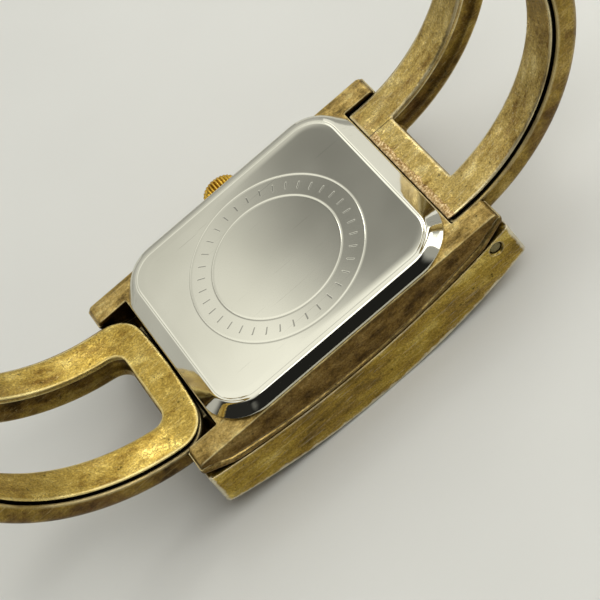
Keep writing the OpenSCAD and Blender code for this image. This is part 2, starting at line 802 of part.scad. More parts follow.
module left_hinge_pin() {
    color("silver") place()
        y_rod(-hinge_x, hinge_h, pin_r, -side_y(hinge_h) + pin_wall, side_y(hinge_h) - pin_sink);
}

// A coil around the pin, with the leg that leans on the case
module hinge_spring() {
    coil = spring_slot - spring_side_gap;
    inside = pin_r + slip;
    outside = inside + wire_t;
    difference() {
        union() {
            y_rod(hinge_x, hinge_h, outside, -coil, coil);
            translate([notch_l / 2, -coil, hinge_h + inside])
                cube([hinge_x - notch_l / 2, wire_t, wire_t]);
        }
        y_rod(hinge_x, hinge_h, inside, -coil - cut, coil + cut);
        for (y = [-coil + 2 * wire_t : 2 * wire_t : coil - 2 * wire_t])
            difference() {
                y_rod(hinge_x, hinge_h, outside + cut, y - turn_gap / 2, y + turn_gap / 2);
                y_rod(hinge_x, hinge_h, inside + wire_t / 2, y - turn_gap, y + turn_gap);
            }
    }
}

module right_spring() {
    color("gray") place() hinge_spring();
}

module left_spring() {
    color("gray") place() mirror([1, 0, 0]) hinge_spring();
}

// Arms: each follows one curve beside the case and a flatter one under the wrist
module swept(r, cx, ch, from, sweep) {
    translate([cx, 0, ch]) rotate([90, 0, 0]) rotate([0, 0, from])
        rotate_extrude(angle = sweep, $fn = 360) translate([r, 0]) children();
}

// core is the band of radii, inside the section, that ties the two curves into one rail
module arm_sweep(r, cx, top, start_x, core) {
    from = -90 - asin((cx - start_x) / r);
    swept(r, cx, top + r, from, -from) children();
    swept(under_r, cx + r - under_r, top + r, 0, under_angle) children();
    for (s = [-1, 1])
        translate([cx + r + (core[0] + core[1]) / 2, s * (loop_w + strip_w) / 4, top + r])
            cube([core[1] - core[0], (strip_w - loop_w) / 4, core[1] - core[0]], center = true);
}

// Cross sections lie in radius (from the wrist side outwards) and width
module channel_section() {
    w = arm_w / 2;
    s = strip_w / 2;
    t = strip_t;
    d = arm_t;
    side = [[t, s - 2 * groove_w], [t + groove_w, s - groove_w], [t + groove_w, w - edge_cut],
        [t + groove_w + edge_cut, w], [d - dome_h, w], [d - 0.45 * dome_h, w - 0.4 * dome_h],
        [d - 0.12 * dome_h, w - 1.3 * dome_h], [d, w - 2.6 * dome_h]];
    polygon(concat(side, [for (i = [len(side) - 1 : -1 : 0]) [side[i][0], -side[i][1]]]));
}

module strip_section() {
    w = strip_w / 2;
    b = strip_bevel;
    polygon([[b, w], [0, w - b], [0, -w + b], [b, -w], [strip_t, -w], [strip_t, w]]);
}

// Rounds the two corners of a bar of width w that begins at X = 0
module corner_pair(w, corner, deep) {
    rim = corner - corner_over;
    for (s = [-1, 1]) translate([rim, s * (w / 2 - rim), 0]) difference() {
        translate([-corner / 2 - cut, s * (corner / 2 + cut), deep / 2])
            cube([corner + 2 * cut, corner + 2 * cut, deep], center = true);
        translate([0, 0, -cut]) cylinder(r = corner, h = deep + 2 * cut);
    }
}

// The opening between the rails, from the hinge bar to the bar at the free end
module loop_cut(r, cx, top, bar_x, grow) {
    centre = [cx + r - under_r, top + r];
    angle = under_angle - 180 * end_bar / (PI * under_r);
    inner = centre + (under_r - arm_t) * [cos(angle), sin(angle)];
    outer = centre + (under_r + 2 * arm_t) * [cos(angle), sin(angle)];
    side = centre[0] + under_r + 2 * arm_t;
    across(loop_w + 2 * grow)
        polygon([[bar_x, 0], [side, 0], [side, outer[1]], outer, inner, [bar_x, inner[1]]]);
}

// The hinge bar's block, rounded about the pin and clear of the floor under it
module knuckle(start_x, top) {
    back_h = top - strip_t - knuckle_cover - hinge_h;
    heel_h = -knuckle_r;
    translate([0, 0, hinge_h]) rotate([90, 0, 0])
        linear_extrude(arm_w - 2 * knuckle_side, center = true) {
            translate([hinge_x, 0]) circle(knuckle_r);
            polygon([[start_x, 0], [hinge_x - heel_w, heel_h], [hinge_x, heel_h],
                [hinge_x + heel_w, floor_gap], [start_x + hinge_bar, knuckle_r],
                [start_x + hinge_bar, back_h], [start_x, back_h]]);
        }
}

module arm_channel(r, cx, top, start_x, corner) {
    difference() {
        union() {
            arm_sweep(r, cx, top, start_x, [strip_t + groove_w, arm_t - dome_h / 2])
                channel_section();
            knuckle(start_x, top);
        }
        loop_cut(r, cx, top, start_x + hinge_bar, loop_step);
        y_rod(hinge_x, hinge_h, pin_r + slip, -bezel_w, bezel_w);
        translate([start_x - cut, -spring_slot, 0])
            cube([hinge_bar + cut - slot_wall, 2 * spring_slot, top - strip_t - slot_cover]);
        y_rod(hinge_x, hinge_h, knuckle_r + slip, -spring_slot, spring_slot);
        arm_corners(r, cx, top, start_x, corner, arm_w);
        arm_face(start_x);
    }
}

module arm_strip(r, cx, top, start_x, corner) {
    difference() {
        arm_sweep(r, cx, top, start_x, [strip_bevel, strip_t - strip_bevel]) strip_section();
        loop_cut(r, cx, top, start_x + hinge_bar, 0);
        arm_corners(r, cx, top, start_x, corner, strip_w);
        arm_face(start_x);
    }
}

// Trims the hinge bar square where it faces the case
module arm_face(start_x) {
    translate([start_x - arm_t, -arm_w, 0]) cube([arm_t, 2 * arm_w, total_h]);
}

module arm_corners(r, cx, top, start_x, corner, w) {
    translate([cx + r - under_r, 0, top + r]) rotate([0, -under_angle, 0])
        translate([under_r - arm_t, 0, 0]) rotate([0, 90, 0])
            corner_pair(w, end_corner_r, 3 * arm_t);
    if (corner > 0) translate([start_x, 0, 0]) corner_pair(w, corner, total_h);
}

module right_arm_channel() {
    color("darkgoldenrod") place() arm_channel(right_r, right_cx, flat_h, right_start, 0);
}

module right_arm_strip() {
    color("goldenrod") place() arm_strip(right_r, right_cx, flat_h, right_start, 0);
}

module left_arm_channel() {
    color("darkgoldenrod") place() mirror([1, 0, 0])
        arm_channel(left_r, left_cx, flat_h - left_drop, left_start, left_corner_r);
}

module left_arm_strip() {
    color("goldenrod") place() mirror([1, 0, 0])
        arm_strip(left_r, left_cx, flat_h - left_drop, left_start, left_corner_r);
}

// Crown and stem
module crown() {
    color("gold") place() difference() {
        union() {
            y_rod(0, stem_h, crown_r, crown_y, crown_face - crown_bevel);
            y_rod(0, stem_h, crown_r - crown_bevel, crown_y, crown_face);
        }
        y_rod(0, stem_h, tube_r + gasket_t, 0, crown_face - crown_top);
        for (i = [0 : flutes - 1])
            translate([0, crown_face + cut, stem_h]) rotate([90, 360 * i / flutes, 0])
                translate([crown_r + 0.03, 0, 0])
                    cylinder(r = 0.3 * PI * crown_r / flutes * 2, h = crown_l + 2 * cut, $fn = 24);
        y_rod(0, stem_h, stem_r, 0, stem_end);
    }
}

module crown_tube() {
    color("silver") place() difference() {
        y_rod(0, stem_h, tube_r, mid_hole_w / 2 + part_gap, crown_face - crown_top - slip);
        y_rod(0, stem_h, stem_r + fit, 0, bezel_w);
    }
}

module crown_gasket() {
    color("black") place() difference() {
        y_rod(0, stem_h, tube_r + gasket_t, crown_y + gasket_t, crown_y + gasket_t + gasket_l);
        y_rod(0, stem_h, tube_r + fit, 0, bezel_w);
    }
}

module stem() {
    color("silver") place() difference() {
        union() {
            y_rod(0, stem_h, pilot_r, pilot_y, clutch_y[1] + cut);
            y_rod(0, stem_h, stem_r, clutch_y[1], stem_end);
        }
        difference() {
            y_rod(0, stem_h, stem_r + cut, lever_y - slip, lever_y + lever_t + slip);
            y_rod(0, stem_h, stem_neck_r, 0, bezel_w);
        }
    }
}

module clutch_wheel() {
    color("silver") place() difference() {
        y_rod(0, stem_h, clutch_r, clutch_y[0], clutch_y[1]);
        y_rod(0, stem_h, pilot_r, 0, bezel_w);
        for (i = [0 : clutch_teeth - 1])
            translate([0, clutch_y[0], stem_h]) rotate([90, 360 * i / clutch_teeth, 0])
                translate([clutch_r, 0, 0]) cube([clutch_tooth, 0.4 * clutch_tooth, clutch_tooth],
                    center = true);
    }
}

// The lever's fork straddles the stem's neck and travels with it
module setting_lever() {
    top = stem_h + boss_top + lever_gap;
    color("lightsteelblue") place() difference() {
        union() {
            translate([-lever_w / 2, lever_y, stem_h - stem_neck_r / 3])
                cube([lever_w, lever_t, top + lever_t - stem_h + stem_neck_r / 3]);
            translate([-lever_w / 2, lever_y - lever_w / 3, top])
                cube([lever_l, lever_w / 3 + lever_t, lever_t]);
        }
        y_rod(0, stem_h, stem_neck_r + fit, 0, bezel_w);
    }
}

// Gear train
module rotor() {
    low = plate_h + fit;
    color("gray") place() {
        rod(rotor_at, rotor_r, low, low + rotor_t);
        toothed(rotor_at, 6, rotor_m, low + rotor_t, fifth_h + wheel_t + pinion_over);
        pivots(rotor_at);
    }
}

// A wheel's arbor, with a pivot in the main plate and one in the bridge
module pivots(at) {
    rod(at, arbor_r, plate_h - pivot_l, bridge_h + pivot_l);
}

module fifth_wheel() {
    color("khaki") place() {
        difference() {
            toothed(fifth_at, 36, rotor_m, fifth_h, fifth_h + wheel_t);
            wheel_holes(fifth_at, 1, 0.35, fifth_h, fifth_h + wheel_t);
        }
        toothed(fifth_at, 8, rotor_m, fourth_h - pinion_over, fourth_h + wheel_t + pinion_over);
        pivots(fifth_at);
    }
}

module fourth_wheel() {
    color("khaki") place() {
        difference() {
            toothed([0, 0], 40, rotor_m, fourth_h, fourth_h + wheel_t);
            wheel_holes([0, 0], 1.2, 0.35, fourth_h, fourth_h + wheel_t);
        }
        toothed([0, 0], 8, third_m, third_h - pinion_over, third_h + wheel_t + pinion_over);
        rod([0, 0], arbor_r, second_low, bridge_h + pivot_l);
    }
}

module third_wheel() {
    color("khaki") place() {
        difference() {
            toothed(third_at, 60, third_m, third_h, third_h + wheel_t);
            wheel_holes(third_at, 1.4, 0.4, third_h, third_h + wheel_t);
        }
        toothed(third_at, 8, train_m, centre_h - fit, centre_h + wheel_t + pinion_over);
        pivots(third_at);
    }
}

module centre_wheel() {
    color("khaki") place() difference() {
        union() {
            difference() {
                toothed([0, 0], 64, train_m, centre_h, centre_h + wheel_t);
                wheel_holes([0, 0], 1.4, 0.45, centre_h, centre_h + wheel_t);
            }
            rod([0, 0], cannon_r, minute_low, centre_h + wheel_t);
            toothed([0, 0], 10, motion_m, motion_level, motion_level + wheel_t);
        }
        rod([0, 0], arbor_r + fit, 0, total_h);
    }
}

module minute_wheel() {
    color("khaki") place() difference() {
        union() {
            toothed(minute_at, 30, motion_m, motion_level, motion_level + wheel_t);
            toothed(minute_at, 8, motion_m, motion_h, motion_level);
        }
        rod(minute_at, stud_r + fit, 0, total_h);
    }
}

module hour_wheel() {
    color("khaki") place() difference() {
        union() {
            toothed([0, 0], 32, motion_m, motion_h, motion_h + wheel_t);
            rod([0, 0], hour_tube_r, hour_low, motion_h + wheel_t);
        }
        rod([0, 0], cannon_r + fit, 0, total_h);
    }
}

module setting_wheel() {
    color("khaki") place() difference() {
        toothed(setting_at, 22, motion_m, motion_level, motion_level + wheel_t);
        rod(setting_at, stud_r + fit, 0, total_h);
    }
}

// A hand is a hub and a tapered blade with a short tail
module hand(hub, bore, l, w, low, angle) {
    tail = 1.2 * hub + 0.4;
    place() translate([0, 0, low]) rotate([0, 0, angle]) difference() {
        union() {
            translate([0, 0, -hub_over]) cylinder(r = hub, h = hand_t + 2 * hub_over);
            linear_extrude(hand_t) polygon([[-tail, -w / 2], [-tail, w / 2], [0.55 * l, 0.6 * w],
                [l, hand_tip], [l, -hand_tip], [0.55 * l, -0.6 * w]]);
        }
        translate([0, 0, -cut]) cylinder(r = bore, h = 2 * cut + hand_t);
    }
}

module hour_hand() {
    color("gold") hand(hour_hub, hour_tube_r, hour_l, 0.7, hour_low, hour_angle);
}

module minute_hand() {
    color("gold") hand(minute_hub, cannon_r, minute_l, 0.5, minute_low, minute_angle);
}

module second_hand() {
    color("gold") hand(second_hub, arbor_r, second_l, 0.14, second_low, second_angle);
}

bezel();
crystal();
crystal_gasket();
mid_case();
case_back();
back_gasket();
dial();
hour_markers();
movement_holder();
main_plate();
motion_cover();
train_bridge();
bridge_screws();
circuit_board();
chip();
quartz_can();
coil_core();
coil_winding();
stator();
battery();
battery_strap();
crown_tube();
right_hinge_pin();
left_hinge_pin();
right_spring();
left_spring();
right_arm_channel();
right_arm_strip();
left_arm_channel();
left_arm_strip();
setting_lever();
crown();
stem();
clutch_wheel();
crown_gasket();
rotor();
fifth_wheel();
fourth_wheel();
third_wheel();
centre_wheel();
minute_wheel();
hour_wheel();
setting_wheel();
hour_hand();
minute_hand();
second_hand();
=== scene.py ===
"""A rectangular bangle watch, lying on its arched front and seen over its steel back."""
import json
import math
import bmesh
import bpy
from mathutils import Matrix, Vector


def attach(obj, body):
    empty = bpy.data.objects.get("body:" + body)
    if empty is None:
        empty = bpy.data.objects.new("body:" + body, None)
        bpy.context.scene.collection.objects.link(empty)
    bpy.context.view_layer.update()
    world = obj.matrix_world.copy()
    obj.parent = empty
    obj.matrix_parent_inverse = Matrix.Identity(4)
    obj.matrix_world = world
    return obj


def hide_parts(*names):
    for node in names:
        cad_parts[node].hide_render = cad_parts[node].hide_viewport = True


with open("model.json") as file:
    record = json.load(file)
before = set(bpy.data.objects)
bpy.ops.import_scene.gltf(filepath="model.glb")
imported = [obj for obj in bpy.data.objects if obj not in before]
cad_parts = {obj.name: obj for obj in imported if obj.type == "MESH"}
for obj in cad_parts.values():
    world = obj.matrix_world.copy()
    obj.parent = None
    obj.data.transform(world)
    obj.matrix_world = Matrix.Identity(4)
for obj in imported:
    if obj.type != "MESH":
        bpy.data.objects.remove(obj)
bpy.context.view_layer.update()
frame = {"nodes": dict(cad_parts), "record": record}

MM = 0.001
SLOTS = {part["node"]: part["material_slot"] for part in frame["record"]["subparts"]}

# Sizes in millimetres, as in the part's source. X runs along the case and Y across it, both
# from its middle, and a height, with _H in its name, is above the lowest point of the front.
TOTAL_H = 9.14
FLAT_H = 7.9
FRONT_R = 54.5
FRONT_END_H = 2.4
SEAM_R = 76.0
SEAM_MIDDLE_H = 4.4
BEZEL_L, BEZEL_W = 32.0, 22.6
BEZEL_DRAFT = 0.07
BEZEL_CORNER_R = 0.35
NOTCH_X, NOTCH_Y = 12.41, 8.31
NOTCH_LIP_X, NOTCH_FLOOR_H = 14.4, 3.5
LUG_X, LUG_NOSE = 15.6, 0.45
MID_Y, MID_LEAN = 10.5, 0.1
HINGE_X, HINGE_H = 13.93, 4.92
PIN_R, PIN_HOLE_R = 0.52, 0.6
KNUCKLE_R, SPRING_SLOT = 1.25, 1.6
ARM_HALF_W = 8.2
STEM_H = 6.15
# Openings and the back's foot, as half length and half width, with their corners' radius
CRYSTAL_POCKET, CRYSTAL_POCKET_R, CRYSTAL_DEPTH = (11.3, 8.7), 2.2, 1.45
SIGHT, SIGHT_R, DIAL_SEAT_H = (10.2, 7.6), 2.0, 4.0
DIAL_SEAT, DIAL_SEAT_R = (11.5, 9.7), 2.05
BACK_RABBET, BACK_RABBET_R, BACK_RABBET_DEPTH = (11.45, 9.65), 2.2, 0.3
MID_HOLE, MID_HOLE_R = (11.0, 9.2), 2.0
BACK_FOOT, BACK_FOOT_R, BACK_SHEET = (10.95, 9.15), 2.0, 0.5
# The two turned circles on the back and the strokes in the ring between them
OUTER_TURN_R, INNER_TURN_R = 8.0, 5.9
STROKES = 72


def paint(hex_colour):
    """Turns an sRGB hex colour into the linear numbers that Blender takes."""
    parts = [int(hex_colour[i:i + 2], 16) / 255 for i in (1, 3, 5)]
    return [c / 12.92 if c <= 0.04045 else ((c + 0.055) / 1.055) ** 2.4 for c in parts] + [1.0]


def grey(value):
    """A neutral factor to multiply a colour by: below 1 darkens it and above 1 lightens it."""
    return [value, value, value, 1.0]


def feed(tree, node, inputs):
    """Gives a node's inputs another node's output or a plain value each.

    An input goes by its name or its number. Map Range has its value at 0, the span it comes
    from at 1 and 2 and the span it goes to at 3 and 4, both 0 to 1 where they are left out.
    Mix, for colours, has the share at 0, the colour under at 6 and the one over it at 7.
    """
    for socket, value in inputs.items():
        if isinstance(value, bpy.types.NodeSocket):
            tree.links.new(value, node.inputs[socket])
        else:
            node.inputs[socket].default_value = value


def add(tree, kind, inputs=None, stops=None, **settings):
    """Adds one node with its settings, its inputs and, for a ramp, its stops."""
    made = tree.nodes.new("ShaderNode" + kind)
    for name, value in settings.items():
        setattr(made, name, value)
    feed(tree, made, inputs or {})
    for i, (place, colour) in enumerate(stops or []):
        ramp = made.color_ramp.elements
        stop = ramp[i] if i < 2 else ramp.new(place)
        stop.position, stop.color = place, colour
    return made


def place_in_mm(tree):
    """Where a point of the surface lies in the shared frame, in millimetres."""
    place = add(tree, "TexCoord").outputs["Object"]
    return add(tree, "VectorMath", {0: place, "Scale": 1 / MM}, operation="SCALE").outputs[0]


def start_material(name):
    """A new material with its tree, its shader and its place in millimetres."""
    made = bpy.data.materials.new(name)
    made.use_nodes = True
    tree = made.node_tree
    tree.nodes.clear()
    shader = add(tree, "BsdfPrincipled")
    add(tree, "OutputMaterial", {"Surface": shader.outputs[0]})
    return made, tree, shader, place_in_mm(tree)


def reopen(made):
    """A finished material's tree, its shader and the colour that goes into it."""
    tree = made.node_tree
    shader = next(n for n in tree.nodes if n.type == "BSDF_PRINCIPLED")
    return tree, shader, shader.inputs["Base Color"].links[0].from_socket


def glittering_relief(tree, mm, fine, brushed, grain, bump, glitter):
    """A normal with pits and brush lines, on facets of grain size that each lean a little."""
    pits = add(tree, "Bump", {"Height": fine, "Distance": bump * MM, "Strength": 0.7})
    lines = add(tree, "Bump", {"Height": brushed, "Distance": 0.012 * MM, "Strength": 0.6,
                               "Normal": pits.outputs[0]}).outputs[0]
    facets = add(tree, "TexVoronoi", {"Vector": mm, "Scale": 0.8 / grain}).outputs["Color"]
    lean = add(tree, "VectorMath", {0: facets, 1: (-0.5, -0.5, -0.5)}).outputs[0]
    lean = add(tree, "VectorMath", {0: lean, "Scale": glitter}, operation="SCALE").outputs[0]
    leaning = add(tree, "VectorMath", {0: lines, 1: lean}).outputs[0]
    return add(tree, "VectorMath", {0: leaning}, operation="NORMALIZE").outputs[0]


def rubbed_edges(tree, rim, spill):
    """How far the plate is rubbed off: along the edges, in some stretches more than in others."""
    thin = add(tree, "AmbientOcclusion", {"Distance": rim * MM}, samples=6, inside=True,
               only_local=True).outputs["AO"]
    worn = add(tree, "MapRange", {0: thin, 1: 0.68, 2: 0.94, 3: 1.0, 4: 0.0}).outputs[0]
    patchy = add(tree, "MapRange", {0: spill, 1: 0.4, 2: 0.55, 3: 0.3, 4: 1.0}).outputs[0]
    return add(tree, "Math", {0: worn, 1: patchy}, operation="MULTIPLY").outputs[0]


def worn_metal(name, colours, stain, edge, patch, grain, rough, bump, stretch=(1, 1, 1),
               glitter=0.1, scuffs=0.4, rim=0.28):
    """Plated metal with wear: patches of tarnish and stain, a glittering grain, scuffs along
    the brushing, painted shade and grime in the crevices and plate rubbed off along the edges.

    Sizes are in millimetres. colours run from the darkest tarnish to the brightest metal.
    """
    made, tree, shader, mm = start_material(name)
    along = add(tree, "Mapping", {"Vector": mm, "Scale": stretch}).outputs[0]
    blotch = add(tree, "TexNoise", {"Vector": along, "Scale": 1 / patch, "Detail": 7.0,
                                    "Roughness": 0.65}).outputs["Fac"]
    tarnish = [(0.34 + 0.32 * i / (len(colours) - 1), paint(c)) for i, c in enumerate(colours)]
    tone = add(tree, "ValToRGB", {0: blotch}, stops=tarnish).outputs[0]
    spill = add(tree, "TexNoise", {"Vector": along, "Scale": 0.4 / patch, "Detail": 8.0,
                                   "Roughness": 0.7, "Distortion": 0.6}).outputs["Fac"]
    stained = add(tree, "MapRange", {0: spill, 1: 0.53, 2: 0.66, 4: 0.55}).outputs[0]
    fine = add(tree, "TexNoise", {"Vector": mm, "Scale": 1 / grain, "Detail": 3.0,
                                  "Roughness": 0.75}).outputs["Fac"]
    speck = add(tree, "ValToRGB", {0: fine}, stops=[
        (0.36, grey(0.68)), (0.5, grey(1.0)), (0.64, grey(1.42))]).outputs[0]
    # Spots of corrosion, some two to a millimetre
    corroded = add(tree, "TexNoise", {"Vector": mm, "Scale": 2.2, "Detail": 5.0,
                                      "Roughness": 0.6}).outputs["Fac"]
    spots = add(tree, "MapRange", {0: corroded, 1: 0.65, 2: 0.68, 4: 0.7}).outputs[0]
    # Brush lines are some 0.03 mm wide on the real plate. Drawn at seven to a millimetre, they
    # are nearly five times as coarse, so that they show, and a good two millimetres long.
    strokes = add(tree, "Mapping", {"Vector": mm, "Scale": (0.45, 7.0, 7.0)}).outputs[0]
    brushed = add(tree, "TexNoise", {"Vector": strokes, "Scale": 1.0, "Detail": 4.0,
                                     "Roughness": 0.7}).outputs["Fac"]
    scuff = add(tree, "MapRange", {0: brushed, 1: 0.56, 2: 0.72, 4: scuffs}).outputs[0]
    rubbed = rubbed_edges(tree, rim, spill)
    # Painted shade and grime: the colour darkens where the surface is hemmed in, in the crevices and
    # between parts
    open_air = add(tree, "AmbientOcclusion", {"Distance": 1.5 * MM}, samples=6).outputs["AO"]
    grime_and_shade = add(tree, "MapRange", {0: open_air, 1: 0.22, 2: 0.6, 3: 0.02, 4: 1.0}).outputs[0]
    for share, over, way in ((stained, paint(stain), "MIX"), (1.0, speck, "MULTIPLY"),
                             (spots, paint("#332e18"), "MIX"), (scuff, paint(edge), "MIX"),
                             (rubbed, paint(edge), "MIX"), (1.0, grime_and_shade, "MULTIPLY")):
        tone = add(tree, "Mix", {0: share, 6: tone, 7: over}, data_type="RGBA",
                   blend_type=way).outputs[2]
    dull = add(tree, "MapRange", {0: blotch, 1: 0.36, 2: 0.64, 3: rough[1], 4: rough[0]}).outputs[0]
    # Where the gold is gone, the dull base metal shows
    bare = add(tree, "MapRange", {0: rubbed, 3: 1.0, 4: 0.55}).outputs[0]
    relief = glittering_relief(tree, mm, fine, brushed, grain, bump, glitter)
    feed(tree, shader, {"Base Color": tone, "Roughness": dull, "Metallic": bare, "Normal": relief})
    return made


def plain_finish(name, colour, metallic, roughness, grain, bump, spread=0.12):
    """A finish of one colour with a fine grain: sizes in millimetres."""
    made, tree, shader, mm = start_material(name)
    fine = add(tree, "TexNoise", {"Vector": mm, "Scale": 1 / grain, "Detail": 4.0}).outputs["Fac"]
    shade = add(tree, "ValToRGB", {0: fine}, stops=[
        (0.3, grey(1 - spread)), (0.7, grey(1 + spread))]).outputs[0]
    tone = add(tree, "Mix", {0: 1.0, 6: paint(colour), 7: shade}, data_type="RGBA",
               blend_type="MULTIPLY").outputs[2]
    dull = add(tree, "MapRange", {0: fine, 3: roughness * 0.85, 4: roughness * 1.15}).outputs[0]
    bumps = add(tree, "Bump", {"Height": fine, "Distance": bump * MM, "Strength": 0.5}).outputs[0]
    feed(tree, shader, {"Base Color": tone, "Roughness": dull, "Metallic": metallic, "Normal": bumps})
    return made


def stroke_ring(tree, mm):
    """The fine engraved strokes in the ring between the back's two turned circles."""
    x, y, z = add(tree, "SeparateXYZ", {0: mm}).outputs
    turn = add(tree, "Math", {0: y, 1: x}, operation="ARCTAN2").outputs[0]
    step = add(tree, "Math", {0: turn, 1: 2 * math.pi / STROKES}, operation="DIVIDE").outputs[0]
    off = add(tree, "Math", {0: step, 1: 1.0}, operation="PINGPONG").outputs[0]
    stroke = add(tree, "MapRange", {0: off, 1: 0.05, 2: 0.13, 3: 1.0, 4: 0.0}).outputs[0]
    flat = add(tree, "CombineXYZ", {0: x, 1: y}).outputs[0]
    far = add(tree, "VectorMath", {0: flat}, operation="LENGTH").outputs["Value"]
    from_ring = add(tree, "Math", {0: far, 1: (OUTER_TURN_R + INNER_TURN_R) / 2},
                    operation="SUBTRACT").outputs[0]
    beside = add(tree, "Math", {0: from_ring}, operation="ABSOLUTE").outputs[0]
    inside = add(tree, "MapRange", {0: beside, 1: 0.3, 2: 0.38, 3: 1.0, 4: 0.0}).outputs[0]
    on_top = add(tree, "MapRange", {0: z, 1: -0.2, 2: -0.1}).outputs[0]
    cut = add(tree, "Math", {0: stroke, 1: inside}, operation="MULTIPLY").outputs[0]
    return add(tree, "Math", {0: cut, 1: on_top}, operation="MULTIPLY").outputs[0]


def polished_back_steel():
    """Stainless steel, pressed and mirror polished: clear reflections, hairline scratches,
    faint smears, and a ring of fine engraved strokes between the two turned circles."""
    made, tree, shader, mm = start_material("stainless steel, pressed and mirror polished")
    smear = add(tree, "TexNoise", {"Vector": mm, "Scale": 0.16, "Detail": 1.5}).outputs["Fac"]
    tone = add(tree, "ValToRGB", {0: smear}, stops=[
        (0.35, paint("#d3d0bf")), (0.65, paint("#d9d6c5"))]).outputs[0]
    # Hairlines are a few hundredths of a millimetre wide on the real back, and drawn about a
    # tenth wide so that they show. Each set of them runs its own way, by an angle in radians.
    hairs = []
    for turned, scale, detail, rough in ((0.5, (0.1, 9.0, 1.0), 2.0, 0.5),
                                         (2.3, (0.16, 12.0, 1.0), 2.0, 0.5),
                                         (0.6, (0.25, 9.0, 1.0), 6.0, 0.8)):
        way = add(tree, "Mapping", {"Vector": mm, "Rotation": (0, 0, turned), "Scale": scale})
        hairs.append(add(tree, "TexNoise", {"Vector": way.outputs[0], "Scale": 1.0,
                                            "Detail": detail, "Roughness": rough}).outputs["Fac"])
    # The first two sets darken the steel, and the third is its relief
    for lines in hairs[:2]:
        hairline = add(tree, "MapRange", {0: lines, 1: 0.71, 2: 0.74, 4: 0.35}).outputs[0]
        tone = add(tree, "Mix", {0: hairline, 6: tone, 7: paint("#8f8d82")},
                   data_type="RGBA").outputs[2]
    cut = stroke_ring(tree, mm)
    shade = add(tree, "Math", {0: cut, 1: 0.7}, operation="MULTIPLY").outputs[0]
    tone = add(tree, "Mix", {0: shade, 6: tone, 7: paint("#77766e")}, data_type="RGBA").outputs[2]
    dull = add(tree, "MapRange", {0: smear, 1: 0.4, 2: 0.7, 3: 0.05, 4: 0.09}).outputs[0]
    wave = add(tree, "Bump", {"Height": smear, "Distance": 0.004 * MM, "Strength": 0.25})
    scratch = add(tree, "Bump", {"Height": hairs[2], "Distance": 0.0002 * MM, "Strength": 0.3,
                                 "Normal": wave.outputs[0]})
    engraved = add(tree, "Bump", {"Height": cut, "Distance": 0.005 * MM, "Strength": 1.0,
                                  "Normal": scratch.outputs[0]}, invert=True).outputs[0]
    feed(tree, shader, {"Base Color": tone, "Roughness": dull, "Metallic": 1.0, "Normal": engraved})
    return made


def mark_solder(made):
    """Hard solder along the right arm's bar: a rough pinkish edge beside the case, and the
    dark line of the joint where the bar meets the rails. The left arm kept more colour."""
    tree, shader, tone = reopen(made)
    mm = place_in_mm(tree)
    x, y, _ = add(tree, "SeparateXYZ", {0: mm}).outputs
    solder_x, rail_y, bar_end_x = 13.3, 4.42, 15.1
    ragged = add(tree, "TexNoise", {"Vector": mm, "Scale": 1.1, "Detail": 6.0,
                                    "Roughness": 0.7}).outputs["Fac"]
    edge = add(tree, "MapRange", {0: ragged, 3: -0.5, 4: 0.5}).outputs[0]
    reach = add(tree, "Math", {0: x, 1: edge}, operation="ADD").outputs[0]
    beside = add(tree, "MapRange", {0: reach, 1: solder_x, 2: solder_x - 0.35}).outputs[0]
    beside = add(tree, "Math", {0: beside, 1: x}, operation="MULTIPLY").outputs[0]
    beside = add(tree, "MapRange", {0: beside, 1: 4.0, 2: 6.0, 4: 0.75}).outputs[0]
    middle = add(tree, "MapRange", {0: y, 1: rail_y + 0.18, 2: rail_y - 0.22, 3: 0.1}).outputs[0]
    share = add(tree, "Math", {0: beside, 1: middle}, operation="MULTIPLY").outputs[0]
    # Lumps of solder, five to a millimetre
    lumps = add(tree, "TexNoise", {"Vector": mm, "Scale": 5.0, "Detail": 4.0}).outputs["Fac"]
    solder = add(tree, "ValToRGB", {0: lumps}, stops=[
        (0.35, paint("#765634")), (0.5, paint("#b49060")), (0.65, paint("#f0d8aa"))]).outputs[0]
    tone = add(tree, "Mix", {0: share, 6: tone, 7: solder}, data_type="RGBA").outputs[2]
    from_rail = add(tree, "Math", {0: y, 1: rail_y}, operation="SUBTRACT").outputs[0]
    off = add(tree, "Math", {0: from_rail}, operation="ABSOLUTE").outputs[0]
    line = add(tree, "MapRange", {0: off, 1: 0.03, 2: 0.07, 3: 0.8, 4: 0.0}).outputs[0]
    for limit in ({1: bar_end_x, 2: bar_end_x + 0.1, 3: 1.0, 4: 0.0}, {1: 4.0, 2: 5.0}):
        on_bar = add(tree, "MapRange", {0: x, **limit}).outputs[0]
        line = add(tree, "Math", {0: line, 1: on_bar}, operation="MULTIPLY").outputs[0]
    tone = add(tree, "Mix", {0: line, 6: tone, 7: paint("#2c2010")}, data_type="RGBA").outputs[2]
    left = add(tree, "MapRange", {0: x, 1: -8.0, 2: 8.0, 3: 1.0, 4: 0.0}).outputs[0]
    tone = add(tree, "Mix", {0: left, 6: tone, 7: paint("#fffad6")}, data_type="RGBA",
               blend_type="MULTIPLY").outputs[2]
    bumpy = add(tree, "Math", {0: lumps, 1: share}, operation="MULTIPLY").outputs[0]
    under = shader.inputs["Normal"].links[0].from_socket
    raised = add(tree, "Bump", {"Height": bumpy, "Distance": 0.05 * MM, "Strength": 1.0,
                                "Normal": under}).outputs[0]
    feed(tree, shader, {"Base Color": tone, "Normal": raised})


